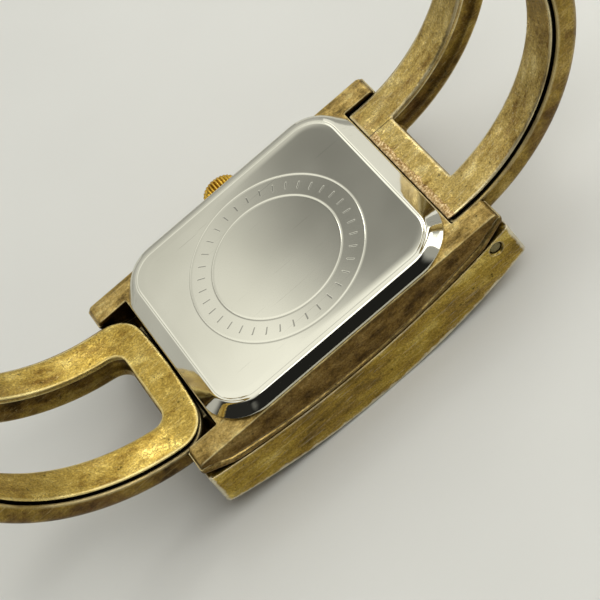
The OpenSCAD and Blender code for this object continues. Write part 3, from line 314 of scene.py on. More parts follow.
def rub_front_edges(made):
    """Rubs the gold off the bezel's long edges around the front and off its four upright
    corners: the pale nickel shows."""
    tree, shader, tone = reopen(made)
    mm = place_in_mm(tree)
    x, y, z = add(tree, "SeparateXYZ", {0: mm}).outputs
    ragged = add(tree, "TexNoise", {"Vector": mm, "Scale": 0.9, "Detail": 7.0,
                                    "Roughness": 0.7}).outputs["Fac"]
    edge = add(tree, "MapRange", {0: ragged, 1: 0.3, 2: 0.7, 3: 0.12, 4: -0.25}).outputs[0]
    # The height above the arched front, near enough to a parabola
    arch = add(tree, "Math", {0: x, 1: x}, operation="MULTIPLY").outputs[0]
    arch = add(tree, "Math", {0: arch, 1: -0.5 / FRONT_R, 2: TOTAL_H},
               operation="MULTIPLY_ADD").outputs[0]
    height = add(tree, "Math", {0: arch, 1: z}, operation="ADD").outputs[0]
    height = add(tree, "Math", {0: height, 1: edge}, operation="ADD").outputs[0]
    low = add(tree, "MapRange", {0: height, 1: 0.16, 2: 0.34, 3: 0.85, 4: 0.0}).outputs[0]
    side = add(tree, "Math", {0: y}, operation="ABSOLUTE").outputs[0]
    at_side = add(tree, "MapRange", {0: side, 1: 10.2, 2: 10.8}).outputs[0]
    share = add(tree, "Math", {0: low, 1: at_side}, operation="MULTIPLY").outputs[0]
    # The corners, by how far a point lies in from the end and from the side, draft and all
    drop = add(tree, "Math", {0: z, 1: -BEZEL_DRAFT, 2: -BEZEL_DRAFT * TOTAL_H},
               operation="MULTIPLY_ADD").outputs[0]
    gaps = []
    for across, reach in ((x, BEZEL_L / 2 + FRONT_END_H * BEZEL_DRAFT), (y, BEZEL_W / 2)):
        way_out = add(tree, "Math", {0: across}, operation="ABSOLUTE").outputs[0]
        room = add(tree, "Math", {0: reach, 1: way_out}, operation="SUBTRACT").outputs[0]
        gaps.append(add(tree, "Math", {0: room, 1: drop}, operation="ADD").outputs[0])
    corner = add(tree, "Math", {0: gaps[0], 1: gaps[1]}, operation="MAXIMUM").outputs[0]
    corner = add(tree, "Math", {0: edge, 1: 0.8, 2: corner}, operation="MULTIPLY_ADD").outputs[0]
    corner = add(tree, "MapRange", {0: corner, 1: 0.16, 2: 0.36, 3: 0.85, 4: 0.0}).outputs[0]
    share = add(tree, "Math", {0: share, 1: corner}, operation="MAXIMUM").outputs[0]
    tone = add(tree, "Mix", {0: share, 6: tone, 7: paint("#e0dac4")}, data_type="RGBA").outputs[2]
    feed(tree, shader, {"Base Color": tone})


def shade_turned_faces(made):
    """Darkens the case's faces that turn sideways or down: painted shade, set by which way a face
    points.
    """
    tree, shader, tone = reopen(made)
    facing = add(tree, "NewGeometry").outputs["Normal"]
    upward = add(tree, "SeparateXYZ", {0: facing}).outputs[2]
    share = add(tree, "MapRange", {0: upward, 1: 0.3, 2: 0.75, 3: 1.0, 4: 0.0}).outputs[0]
    tone = add(tree, "Mix", {0: share, 6: tone, 7: paint("#b5aba0")}, data_type="RGBA",
               blend_type="MULTIPLY").outputs[2]
    feed(tree, shader, {"Base Color": tone})


def mineral_glass():
    """Mineral glass, ground and polished: clear, with its edge slightly green."""
    made, tree, shader, mm = start_material("mineral glass, polished")
    haze = add(tree, "TexNoise", {"Vector": mm, "Scale": 0.4, "Detail": 4.0}).outputs["Fac"]
    dull = add(tree, "MapRange", {0: haze, 3: 0.0, 4: 0.05}).outputs[0]
    tint = add(tree, "ValToRGB", {0: haze}, stops=[
        (0.3, paint("#f4f7f3")), (0.7, paint("#fbfcfa"))]).outputs[0]
    feed(tree, shader, {"Base Color": tint, "Roughness": dull, "Transmission Weight": 1.0, "IOR": 1.52})
    return made


def sunray_dial():
    """Brass, silvered and brushed from the centre: a pale dial whose light turns with the view."""
    made, tree, shader, mm = start_material("brass, silvered and brushed from the centre")
    x, y, _ = add(tree, "SeparateXYZ", {0: mm}).outputs
    turn = add(tree, "Math", {0: y, 1: x}, operation="ARCTAN2").outputs[0]
    around = add(tree, "CombineXYZ", {0: turn}).outputs[0]
    # Brush lines are 0.02 mm apart on the real dial, and drawn here some ten times as coarse
    rays = add(tree, "TexNoise", {"Vector": around, "Scale": 40.0, "Detail": 5.0,
                                  "Roughness": 0.8}).outputs["Fac"]
    tone = add(tree, "ValToRGB", {0: rays}, stops=[
        (0.3, paint("#cfc8b4")), (0.7, paint("#e9e4d4"))]).outputs[0]
    bumps = add(tree, "Bump", {"Height": rays, "Distance": 0.01 * MM, "Strength": 0.5}).outputs[0]
    feed(tree, shader, {"Base Color": tone, "Roughness": 0.38, "Metallic": 0.6, "Normal": bumps})
    return made


# Gold plate on brass, brushed lengthwise and then worn: warm olive gold with brown streaks,
# and the pale nickel under the gold along the edges
BEZEL_GOLD = worn_metal(
    "gold plate on brass, brushed bezel", ["#6a5622", "#927832", "#a88e3c", "#c6ae5c"],
    stain="#866c46", edge="#e2dac2", patch=1.7, grain=0.17, rough=(0.26, 0.42), bump=0.012,
    stretch=(0.35, 1, 1), scuffs=0.35, rim=0.13)
rub_front_edges(BEZEL_GOLD)
# The same plate on the case, thinner: flat and brown with a pitted grain
CASE_GOLD = worn_metal(
    "gold plate on brass, worn case", ["#64502a", "#8e7640", "#a88e52", "#c0aa6c"],
    stain="#735e38", edge="#dccf9c", patch=1.1, grain=0.19, rough=(0.28, 0.46), bump=0.016,
    stretch=(0.5, 1, 1), glitter=0.12, scuffs=0.25, rim=0.16)
# Painted shade on the case's sideways and downward faces
shade_turned_faces(CASE_GOLD)
# The same plate on the arms' inner strips, scuffed by the wrist: a coarse bright glitter
STRIP_GOLD = worn_metal(
    "gold plate on brass, scuffed strips", ["#765c2c", "#9e8648", "#b09858", "#cbb678"],
    stain="#8a6e44", edge="#f0e2b4", patch=1.5, grain=0.17, rough=(0.24, 0.4), bump=0.014,
    stretch=(0.5, 1, 0.5), glitter=0.13)
mark_solder(STRIP_GOLD)
# The channels' plate, stained brown and pink where the skin and the polish did not reach
CHANNEL_GOLD = worn_metal(
    "gold plate on brass, stained channels", ["#3e2e14", "#6c5426", "#8a7232", "#a48c4a"],
    stain="#664a2e", edge="#dccb96", patch=1.5, grain=0.14, rough=(0.3, 0.5), bump=0.018,
    stretch=(0.4, 1, 0.4), scuffs=0.3)
# Gold plate on the crown, hardly touched: clear yellow with soft gloss
CROWN_GOLD = worn_metal(
    "gold plate, bright crown", ["#94701e", "#b8902a", "#c49c34", "#d2ac42"],
    stain="#a88026", edge="#ecd078", patch=1.2, grain=0.1, rough=(0.18, 0.28), bump=0.004,
    glitter=0.03, scuffs=0.1, rim=0.06)
BACK_STEEL = polished_back_steel()
# Steel pins under olive tarnish and grime: dull, hardly lighter than the hole around them
PIN_STEEL = plain_finish("steel, tarnished pin", "#7d7450", 0.9, 0.45, 0.2, 0.02, 0.3)

FINISHES = {
    "bezel_gold": BEZEL_GOLD,
    "case_gold": CASE_GOLD,
    "strip_gold": STRIP_GOLD,
    "crown_gold": CROWN_GOLD,
    "polished_steel": BACK_STEEL,
    "crystal": mineral_glass(),
    "dial": sunray_dial(),
    # Turned steel: grey with a soft line of light
    "grey_steel": plain_finish("carbon steel, turned", "#8c8b88", 1.0, 0.32, 0.1, 0.003),
    # Spring wire: darker steel with a drawn surface
    "spring_steel": plain_finish("spring steel, drawn", "#6e6c69", 1.0, 0.38, 0.08, 0.003),
    # Blued steel: deep blue with a clear gloss
    "blue_steel": plain_finish("steel, heat blued", "#34456e", 1.0, 0.22, 0.1, 0.002),
    # Nickel plate: warm white metal with a fine grain
    "nickel_plate": plain_finish("brass, nickel plated", "#bdb9ae", 1.0, 0.3, 0.15, 0.003),
    # Gilt brass: soft yellow and matte
    "gilt": plain_finish("brass, gilt", "#c9a552", 1.0, 0.34, 0.12, 0.003),
    # Sintered magnet: dark grey and slightly rough
    "magnet": plain_finish("samarium cobalt, sintered", "#55534f", 1.0, 0.5, 0.06, 0.004),
    # Enamelled copper wire: orange brown with the ridges of its turns
    "copper": plain_finish("copper wire, enamelled", "#9c5226", 1.0, 0.3, 0.06, 0.01),
    # White nylon: matte and even
    "white_seal": plain_finish("nylon, moulded white", "#dcdad2", 0.0, 0.5, 0.3, 0.003),
    # Black rubber: matte with a faint bloom
    "black_rubber": plain_finish("nitrile rubber, moulded", "#1d1d1c", 0.0, 0.6, 0.2, 0.004),
    # Movement plastic: cream white with a soft gloss
    "white_plastic": plain_finish("acetal, moulded", "#e2dfd4", 0.0, 0.4, 0.4, 0.003),
    # Circuit board: green lacquer over glass cloth
    "board": plain_finish("glass epoxy board, lacquered", "#2f6b45", 0.0, 0.35, 0.2, 0.004),
    # Chip: black epoxy blob with a fine matte grain
    "chip": plain_finish("epoxy, moulded black", "#1b1b1d", 0.0, 0.45, 0.08, 0.004),
}

for node_name, part in frame["nodes"].items():
    part.data.materials.clear()
    part.data.materials.append(FINISHES[SLOTS[node_name]])


def mesh_in_metres(name, bm):
    """Turns a bmesh in millimetres into a mesh in metres and frees it."""
    bmesh.ops.recalc_face_normals(bm, faces=bm.faces)
    bmesh.ops.scale(bm, vec=(MM, MM, MM), verts=bm.verts)
    mesh = bpy.data.meshes.new(name)
    bm.to_mesh(mesh)
    bm.free()
    return mesh


def make_piece(name, bm, material, body, nodes, bevel=0.0, smooth=35):
    """Turns a bmesh in millimetres into a piece that stands for its CAD nodes."""
    mesh = mesh_in_metres(name, bm)
    piece = bpy.data.objects.new(name, mesh)
    bpy.context.scene.collection.objects.link(piece)
    mesh.materials.append(material)
    if bevel:
        edge = piece.modifiers.new("edges", "BEVEL")
        edge.width, edge.segments, edge.limit_method = bevel * MM, 3, "ANGLE"
        edge.angle_limit = math.radians(40)
    for face in mesh.polygons:
        face.use_smooth = True
    bpy.context.view_layer.objects.active = piece
    piece.select_set(True)
    bpy.ops.object.shade_smooth_by_angle(angle=math.radians(smooth))
    piece.select_set(False)
    flats = piece.modifiers.new("flats", "WEIGHTED_NORMAL")
    flats.weight, flats.keep_sharp = 100, True
    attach(piece, body)
    if nodes:
        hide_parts(*nodes)
    return piece


def loft(bm, rings, closed=False):
    """Joins rings of points, each with as many points, into a skin of quads."""
    made = [[bm.verts.new(p) for p in ring] for ring in rings]
    pairs = list(zip(made, made[1:])) + ([(made[-1], made[0])] if closed else [])
    for low, high in pairs:
        for i in range(len(low)):
            j = (i + 1) % len(low)
            bm.faces.new((low[i], low[j], high[j], high[i]))
    return made


def cap(bm, ring):
    """Closes a ring around its middle."""
    middle = bm.verts.new(sum((v.co for v in ring), Vector()) / len(ring))
    for i, vert in enumerate(ring):
        bm.faces.new((vert, ring[(i + 1) % len(ring)], middle))


def fill_between(bm, ring_a, ring_b):
    """Fills the face between two rings of verts that differ in count."""
    edges = []
    for ring in (ring_a, ring_b):
        for i, vert in enumerate(ring):
            edges.append(bm.edges.get((vert, ring[(i + 1) % len(ring)])))
    bmesh.ops.triangle_fill(bm, use_beauty=True, use_dissolve=False, edges=edges)


def circle_at(x, z, r, y, count):
    """A circle around a line along Y."""
    turns = [2 * math.pi * i / count for i in range(count)]
    return [(x + r * math.cos(a), y, z + r * math.sin(a)) for a in turns]


def rounded(half_l, half_w, r, level, along=44, across=28, corner=10):
    """A rounded rectangle, counter-clockwise; level gives the height, as a number or by X."""
    points = []
    sides = [((half_l, -half_w), (0, 1), across), ((half_l, half_w), (-1, 0), along),
             ((-half_l, half_w), (0, -1), across), ((-half_l, -half_w), (1, 0), along)]
    for (cx, cy), (dx, dy), count in sides:
        span = 2 * (half_w if dx == 0 else half_l) - 2 * r
        for i in range(count):
            step = r + span * i / count
            points.append((cx + dx * step, cy + dy * step))
        end = r + span
        ex, ey = cx + dx * end, cy + dy * end
        ox, oy = ex - dy * r, ey + dx * r
        for i in range(corner):
            a = 0.5 * math.pi * i / corner
            points.append((ox + r * (dy * math.cos(a) + dx * math.sin(a)),
                           oy + r * (-dx * math.cos(a) + dy * math.sin(a))))
    return [(x, y, (level(x) if callable(level) else level)) for x, y in points]


def down(level):
    """A height above the front's lowest point, as a height in the shared frame."""
    return level - TOTAL_H


def front_h(x):
    """The height of the arched front."""
    return FRONT_R - math.sqrt(FRONT_R ** 2 - x * x)


def seam_h(x):
    """The height of the arched seam between bezel and mid case."""
    return SEAM_MIDDLE_H + SEAM_R - math.sqrt(SEAM_R ** 2 - x * x)


def carve(piece, cutter_mesh, name):
    """Cuts one shape out of a piece and keeps the result in its mesh."""
    cutter = bpy.data.objects.new(name, cutter_mesh)
    bpy.context.scene.collection.objects.link(cutter)
    cut = piece.modifiers.new("cut", "BOOLEAN")
    cut.operation, cut.solver, cut.object = "DIFFERENCE", "EXACT", cutter
    piece.modifiers.move(len(piece.modifiers) - 1, 0)
    bpy.context.view_layer.objects.active = piece
    bpy.ops.object.modifier_apply(modifier=cut.name)
    bpy.data.objects.remove(cutter)


def block(low, high):
    """A box between two corners, for cutting."""
    bm = bmesh.new()
    bmesh.ops.create_cube(bm, size=1.0)
    for v in bm.verts:
        v.co = [low[k] + (high[k] - low[k]) * (v.co[k] + 0.5) for k in range(3)]
    return mesh_in_metres("cutter", bm)


def drill(x, z, r, y_from, y_to, lip):
    """A drill along Y, a little wider at its outer end, for cutting."""
    way, wide_l, taper_l = math.copysign(1.0, y_to - y_from), 0.5, 0.16
    stations = [(y_from, r + lip), (y_from + wide_l * way, r + lip),
                (y_from + (wide_l + taper_l) * way, r), (y_to, r)]
    bm = bmesh.new()
    made = loft(bm, [circle_at(x, z, wide, y, 48) for y, wide in stations])
    cap(bm, made[0])
    cap(bm, made[-1])
    return mesh_in_metres("cutter", bm)


def bezel_ring(height, half=(BEZEL_L / 2, BEZEL_W / 2), r=BEZEL_CORNER_R, inset=0.0):
    """One ring of the bezel, with its draft; height is a number or gives the height by X."""
    ring = []
    for x, y, z in rounded(half[0] - inset, half[1] - inset, max(r - inset, 0.1), height):
        x *= 1 - BEZEL_DRAFT * (z - FRONT_END_H) / (BEZEL_L / 2)
        y *= 1 - BEZEL_DRAFT * z / (BEZEL_W / 2)
        ring.append((x, y, down(z)))
    return ring


def build_bezel():
    """The gold band with its arched front, the crystal's pocket, the dial's seat, the arms'
    notches and the hinge pins' holes."""
    # The rounding of the edges at the seam, at the front and at the crystal's pocket
    seam_edge, front_edge, pocket_edge = 0.09, 0.2, 0.14
    # Down the wall from the seam to the front, by inset, share of the seam's height, and lift
    rings = []
    for inset, share, lift in ((seam_edge, 1, 0), (0.03, 1, -0.03), (0, 1, -0.1), (0, 0.65, 0),
                               (0, 0.35, 0), (0, 0, front_edge), (0.03, 0, 0.1), (0.1, 0, 0.03),
                               (front_edge, 0, 0)):
        rings.append(bezel_ring(lambda x, s=share, up=lift: s * seam_h(x) + (1 - s) * front_h(x) + up,
                                inset=inset))
    # Across the front, over the pocket's edge and down to the ledge that the crystal rests on
    outside, pocket = (BEZEL_L / 2, BEZEL_W / 2), CRYSTAL_POCKET
    for share in (0.25, 0.5, 0.75):
        half = [(a - front_edge) * (1 - share) + (b + pocket_edge) * share
                for a, b in zip(outside, pocket)]
        rings.append(bezel_ring(front_h, half, BEZEL_CORNER_R + 1.9 * share))
    for wider, deep in ((pocket_edge, 0.0), (0.04, 0.05), (0.0, pocket_edge), (0.0, CRYSTAL_DEPTH)):
        rings.append(bezel_ring(lambda x, d=deep: front_h(x) + d,
                                (pocket[0] + wider, pocket[1] + wider), CRYSTAL_POCKET_R + wider))
    rings += [bezel_ring(lambda x: front_h(x) + CRYSTAL_DEPTH, SIGHT, SIGHT_R),
              bezel_ring(DIAL_SEAT_H, SIGHT, SIGHT_R),
              bezel_ring(DIAL_SEAT_H, DIAL_SEAT, DIAL_SEAT_R),
              bezel_ring(seam_h, DIAL_SEAT, DIAL_SEAT_R)]
    for share in (0.33, 0.67):
        half = [b * (1 - share) + (a - seam_edge) * share for a, b in zip(outside, DIAL_SEAT)]
        rings.append(bezel_ring(seam_h, half, DIAL_SEAT_R - 1.7 * share))
    bm = bmesh.new()
    loft(bm, rings, closed=True)
    piece = make_piece("bezel_band", bm, BEZEL_GOLD, "head", ["bezel"], smooth=30)
    # The cutters start outside the metal, and the pin holes end before the far side
    past, hole_past, hole_end_y, hole_lip = 3.0, 0.2, 10.1, 0.12
    for s in (-1, 1):
        for start, low in ((NOTCH_X, down(NOTCH_FLOOR_H)), (NOTCH_LIP_X, down(-past))):
            ends = sorted((s * start, s * (BEZEL_L / 2 + past)))
            carve(piece, block((ends[0], -NOTCH_Y, low), (ends[1], NOTCH_Y, past)), "notch")
        hole = drill(s * HINGE_X, down(HINGE_H), PIN_HOLE_R,
                     -s * (BEZEL_W / 2 + hole_past), s * hole_end_y, hole_lip)
        carve(piece, hole, "pin hole")


# The corners of the mid case's outline, by end, side and what meets there, and the steps
# from each to the next
LUG_CORNERS = [("lug", "side"), ("lug", "notch"), ("wall", "notch")]
MID_CORNERS = [(end, way * end, at, edge) for end in (1, -1) for way in (-1, 1)
               for at, edge in LUG_CORNERS[::-way]]
MID_STEPS = [4, 6, 18, 6, 4, 56] * 2


def mid_ring(inset, nose, level, bead=0.0):
    """One ring around the mid case with its four lugs; level gives the height by X. nose is
    how far the lugs' tips are drawn in, and bead how far a bead 0.3 mm high stands out."""
    corners, wall_r, lug_r = [], 0.12, 0.22
    for sx, sy, at, edge in MID_CORNERS:
        x = (LUG_X - nose - 0.3 * inset + 1.4 * bead) if at == "lug" else NOTCH_X - inset
        y = (MID_Y - inset) if edge == "side" else NOTCH_Y + inset
        corners.append((sx * x, sy * y, wall_r if at == "wall" else lug_r))
    ring = []
    for k, (x, y, r) in enumerate(corners):
        px, py, _ = corners[k - 1]
        nx, ny, nr = corners[(k + 1) % len(corners)]
        before = Vector((px - x, py - y)).normalized()
        after = Vector((nx - x, ny - y)).normalized()
        start, end = Vector((x, y)) + before * r, Vector((x, y)) + after * r
        middle = Vector((x, y)) + (before + after) * r
        for i in range(6):
            a = 0.5 * math.pi * i / 6
            ring.append(middle + (start - middle) * math.cos(a) + (end - middle) * math.sin(a))
        last = Vector((nx, ny)) - after * nr
        for i in range(MID_STEPS[k]):
            ring.append(end.lerp(last, i / MID_STEPS[k]))
    out = []
    for x, y in ring:
        z = level(x)
        # Only the long sides lean and carry the bead, not the walls of the notches
        if abs(y) > NOTCH_Y + 0.6:
            y += math.copysign(MID_LEAN * (FLAT_H - z) + bead * bead_size(x) / 0.3, y)
        out.append((x, y, down(z)))
    return out


def mid_low_h(x):
    """The mid case's lower edge: along the seam, and up from it towards the lugs' tips."""
    x, leave, gap = abs(x), 13.0, 0.09
    if x < leave:
        return seam_h(x) + gap
    start, tip = seam_h(leave) + gap, seam_h(LUG_X) + 0.9
    return start + (tip - start) * (x - leave) / (LUG_X - leave)


def bead_size(x):
    """The height of the bead along the mid case's lower edge: it grows towards the lugs."""
    thin, thick = 0.24, 0.6
    share = min(max((abs(x) - 5.0) / 9.0, 0.0), 1.0)
    return thin + (thick - thin) * share * share * (3 - 2 * share)


def build_mid_case():
    """The thin gold frame with its four lugs and the bead along its lower edge."""
    rim = 0.08
    rings = []
    for depth in (0.0, 0.01, 0.035, rim, 0.16, 0.28, LUG_NOSE):
        nose = LUG_NOSE * (1 - math.sqrt(max(0, 1 - (1 - depth / LUG_NOSE) ** 2)))
        inset = rim - math.sqrt(rim ** 2 - (rim - depth) ** 2) if depth < rim else 0.0
        rings.append(mid_ring(inset, nose, lambda x, d=depth: FLAT_H - d))
    for share in (0.4, 0.75):
        rings.append(mid_ring(0, 0, lambda x, s=share: FLAT_H - LUG_NOSE - s * max(
            FLAT_H - 0.6 - mid_low_h(x) - bead_size(x), 0.0)))
    # The groove above the bead and the bead's round, by how far out, share of its height, lift
    for out, rise, lift in ((0.0, 1.0, 0.15), (-0.09, 1.0, 0.11), (-0.09, 1.0, 0.06),
                            (0.02, 0.97, 0.0), (0.06, 0.85, 0.0), (0.085, 0.65, 0.0),
                            (0.09, 0.45, 0.0), (0.075, 0.25, 0.0), (0.04, 0.08, 0.0),
                            (-0.02, 0.0, 0.0)):
        rings.append(mid_ring(0, 0, lambda x, r=rise, up=lift: min(
            mid_low_h(x) + r * bead_size(x) + up, FLAT_H - LUG_NOSE - 0.01), out))
    rings.append(mid_ring(0.12, 0.0, mid_low_h))
    bm = bmesh.new()
    outer = loft(bm, rings)
    ledge = down(FLAT_H - BACK_RABBET_DEPTH)
    inner = loft(bm, [rounded(*BACK_RABBET, BACK_RABBET_R, down(FLAT_H)),
                      rounded(*BACK_RABBET, BACK_RABBET_R, ledge),
                      rounded(*MID_HOLE, MID_HOLE_R, ledge),
                      rounded(*MID_HOLE, MID_HOLE_R, lambda x: down(mid_low_h(x)))])
    fill_between(bm, outer[0], inner[0])
    fill_between(bm, outer[-1], inner[-1])
    make_piece("mid_case_frame", bm, CASE_GOLD, "head", ["mid_case"], smooth=32)


BACK_HALF_L = 12.3
# The back's slope: height in the shared frame, inset of its ends, and how far the near and
# the far side lie from the middle
BACK_PROFILE = [
    (-1.24, 0.0, 10.38, 10.62), (-1.2, 0.0, 10.38, 10.62), (-1.0, 0.0, 10.38, 10.62),
    (-0.965, 0.006, 10.374, 10.62), (-0.945, 0.02, 10.36, 10.618), (-0.93, 0.042, 10.345, 10.616),
    (-0.6, 0.51, 10.1, 10.58), (-0.35, 0.866, 9.91, 10.48), (-0.19, 1.095, 9.79, 10.13),
    (-0.13, 1.18, 9.72, 9.95), (-0.08, 1.255, 9.62, 9.8), (-0.045, 1.305, 9.5, 9.69),
    (-0.026, 1.345, 9.4, 9.62), (-0.018, 1.4, 9.32, 9.56)]


def back_outline(inset, near, far, z, r):
    """One ring of the back, whose two long sides lie unequally far from the middle."""
    middle = (far - near) / 2
    ring = rounded(BACK_HALF_L - inset, (near + far) / 2, r, z, corner=16)
    return [(x, y + middle, z) for x, y, _ in ring]


def build_case_back():
    """The pressed steel pan: a short foot, a slope all round that is steep along the sides, a
    crisp edge with a fine line inside it, and a flat with two turned grooves."""
    foot_z, under_z = -1.84, -0.7
    low_r, top_r, r_taper = 4.2, 2.9, 0.93
    rings = [rounded(*BACK_FOOT, BACK_FOOT_R, z, corner=16) for z in (foot_z, BACK_PROFILE[0][0])]
    for z, inset, near, far in BACK_PROFILE:
        rings.append(back_outline(inset, near, far, z, low_r - r_taper * inset))
    _, inset, near, far = BACK_PROFILE[-1]
    # The fine line inside the edge, and from there up to the flat
    for more, z in ((0.05, -0.017), (0.065, -0.023), (0.085, -0.022), (0.1, -0.015),
                    (0.25, -0.01), (0.4, -0.006), (0.6, -0.002), (0.85, 0.0)):
        rings.append(back_outline(inset + more, near - more, far - more, z, top_r - more))
    turns = [math.atan2(y, x) for x, y, _ in rings[-1]]
    # A turned groove's section, by distance from its middle and depth
    groove = [(0.2, 0.0), (0.05, 0.0), (0.032, -0.002), (0.014, -0.006), (0.0, -0.007)]
    groove += [(-off, z) for off, z in groove[-2::-1]]
    for r in (OUTER_TURN_R, INNER_TURN_R):
        for off, z in groove:
            rings.append([((r + off) * math.cos(a), (r + off) * math.sin(a), z) for a in turns])
    bm = bmesh.new()
    made = loft(bm, rings)
    cap(bm, made[-1])
    inside = [size - BACK_SHEET for size in (*BACK_FOOT, BACK_FOOT_R)]
    under = loft(bm, [rounded(*BACK_FOOT, BACK_FOOT_R, foot_z, corner=16),
                      rounded(*inside, foot_z, corner=16), rounded(*inside, under_z, corner=16)])
    cap(bm, under[-1])
    bmesh.ops.remove_doubles(bm, verts=bm.verts, dist=1e-4)
    make_piece("pressed_back", bm, BACK_STEEL, "head", ["case_back"], smooth=40)


def build_pin(s, label):
    """A hinge pin: a steel rod with a chamfered, slightly domed end in its open hole."""
    head_r = 0.55
    # By distance along the pin from the case's middle towards its open end, and radius
    stations = [(10.86, 0.2), (10.85, 0.36), (10.82, 0.47), (10.76, 0.53), (10.6, head_r),
                (10.2, head_r), (10.1, PIN_R), (0.0, PIN_R), (-9.95, PIN_R), (-10.03, 0.44)]
    bm = bmesh.new()
    made = loft(bm, [circle_at(s * HINGE_X, down(HINGE_H), r, -s * y, 40) for y, r in stations])
    cap(bm, made[0])
    cap(bm, made[-1])
    make_piece(label + "_pin", bm, PIN_STEEL, "head", [label + "_hinge_pin"])


class Arm:
    """One arm's line: a round beside the case, then a flatter one under the wrist.

    r is the first round's radius, cx where its middle lies, start where the arm begins and
    drop how far its top lies under the case's flat. corner and inner_corner round the loop's
    near end, bar is that end's width, knuckle reaches to each side, and bow bulges the end.
    """
    UNDER_R = 22.0
    UNDER_SWEEP = math.radians(66)

    def __init__(self, label, side, r, cx, start, drop, corner, inner_corner, bar, knuckle, bow):
        self.label, self.side, self.r, self.cx, self.start = label, side, r, cx, start
        self.top = FLAT_H - drop
        self.corner, self.inner_corner, self.bar = corner, inner_corner, bar
        self.knuckle, self.bow = knuckle, bow
        self.from_a = -math.asin((cx - start) / r)
        self.bend = r * (0.5 * math.pi - self.from_a)
        self.length = self.bend + self.UNDER_R * self.UNDER_SWEEP

    def at(self, along, y, deep):
        """The point at a distance along the wrist side, across, and down into the arm."""
        if along < self.bend:
            a = self.from_a + along / self.r
            reach = self.r + deep
            x, h = self.cx + reach * math.sin(a), self.top + self.r - reach * math.cos(a)
        else:
            a = (along - self.bend) / self.UNDER_R
            reach = self.UNDER_R + deep
            x = self.cx + self.r - self.UNDER_R + reach * math.cos(a)
            h = self.top + self.r + reach * math.sin(a)
        return (self.side * max(x, self.start), y, down(h))


def loop_line(near, far, half_w, r_near, r_far, rail=120, bar=30, corner=12):
    """A rounded loop in length and width: the same count of points whatever its size."""
    line = []
    spans = [((near + r_near, -half_w), (far - r_far, -half_w), rail, r_far, (0, 1)),
             ((far, -half_w + r_far), (far, half_w - r_far), bar, r_far, (-1, 0)),
             ((far - r_far, half_w), (near + r_near, half_w), rail, r_near, (0, -1)),
             ((near, half_w - r_near), (near, -half_w + r_near), bar, r_near, (1, 0))]
    for (ax, ay), (bx, by), count, r, turn in spans:
        for i in range(count):
            line.append((ax + (bx - ax) * i / count, ay + (by - ay) * i / count))
        heading = Vector((bx - ax, by - ay)).normalized()
        middle = Vector((bx, by)) + Vector(turn) * r
        for i in range(corner):
            a = 0.5 * math.pi * i / corner
            p = middle - Vector(turn) * r * math.cos(a) + heading * r * math.sin(a)
            line.append((p.x, p.y))
    return line


def loop_skin(arm, outer, inner, section, name, material, nodes):
    """A closed loop with one section all round, whose near end bulges by the arm's bow."""
    bow_l = 6.0
    outer = [(x + arm.bow * (y / ARM_HALF_W) ** 2 * max(0.0, 1 - x / bow_l) ** 2, y)
             for x, y in outer]
    rings = []
    for share, deep in section:
        rings.append([arm.at(ox + (ix - ox) * share, oy + (iy - oy) * share, deep)
                      for (ox, oy), (ix, iy) in zip(outer, inner)])
    bm = bmesh.new()
    loft(bm, rings, closed=True)
    make_piece(name, bm, material, arm.label, nodes, smooth=38)


# A section runs round a rail by share of its width, 0 outside and 1 inside the loop, and by
# depth in millimetres below the wrist side. The channel's lip and outer wall come first, then
# its soft outer corner, its underside and its inner wall, which is slightly hollow.
CHANNEL_SECTION = [
    (0.14, 0.86), (0.13, 0.6), (0.1, 0.48), (0.075, 0.43), (0.045, 0.42), (0.018, 0.46),
    (0.0, 0.58), (0.0, 0.9), (0.0, 1.3), (0.0, 1.6), (0.004, 1.85), (0.02, 2.05), (0.055, 2.25),
    (0.11, 2.43), (0.19, 2.58), (0.3, 2.7), (0.43, 2.79), (0.58, 2.86), (0.75, 2.9), (0.93, 2.9),
    (0.98, 2.87), (1.0, 2.8), (1.0, 2.5), (0.995, 2.15), (0.98, 2.05), (0.95, 1.95),
    (0.91, 1.75), (0.89, 1.45), (0.89, 1.15), (0.9, 0.95), (0.9, 0.86)]
# The strip's outer side comes first, then its soft edge, its flat face and its inner side
STRIP_SECTION = [
    (0.07, 0.8), (0.06, 0.5), (0.035, 0.34), (0.012, 0.25), (0.0, 0.18), (0.006, 0.12),
    (0.025, 0.075), (0.06, 0.04), (0.11, 0.018), (0.17, 0.005), (0.3, 0.0), (0.5, 0.0),
    (0.7, 0.0), (0.84, 0.005), (0.9, 0.018), (0.945, 0.04), (0.975, 0.075), (0.994, 0.12),
    (1.0, 0.18), (0.988, 0.25), (0.96, 0.34), (0.935, 0.5), (0.93, 0.8), (0.91, 0.85),
    (0.5, 0.85), (0.09, 0.85)]


def build_knuckle(arm):
    """The block behind the near bar that turns on the pin, in two halves beside the spring."""
    cover, skin, heel_w, hinge_bar = 0.95, 0.05, 1.05, 2.55
    hinge, back = down(HINGE_H), down(arm.top - cover)
    end_x, bar_x = arm.start + skin, arm.start + hinge_bar
    outline = [(end_x, back), (end_x, hinge - 0.1), (HINGE_X - heel_w, hinge - KNUCKLE_R)]
    outline += [(HINGE_X + KNUCKLE_R * math.sin(a), hinge - KNUCKLE_R * math.cos(a))
                for a in [math.radians(8 * i) for i in range(12)]]
    outline += [(bar_x, hinge + KNUCKLE_R), (bar_x, back)]
    bm = bmesh.new()
    for low, high in ((-arm.knuckle, -SPRING_SLOT), (SPRING_SLOT, arm.knuckle)):
        ends = loft(bm, [[(arm.side * x, y, z) for x, z in outline] for y in (low, high)])
        for ring in ends:
            bm.faces.new(ring)
    knuckle = make_piece(arm.label.replace("arm", "knuckle"), bm, CHANNEL_GOLD, arm.label, [],
                         bevel=0.07)


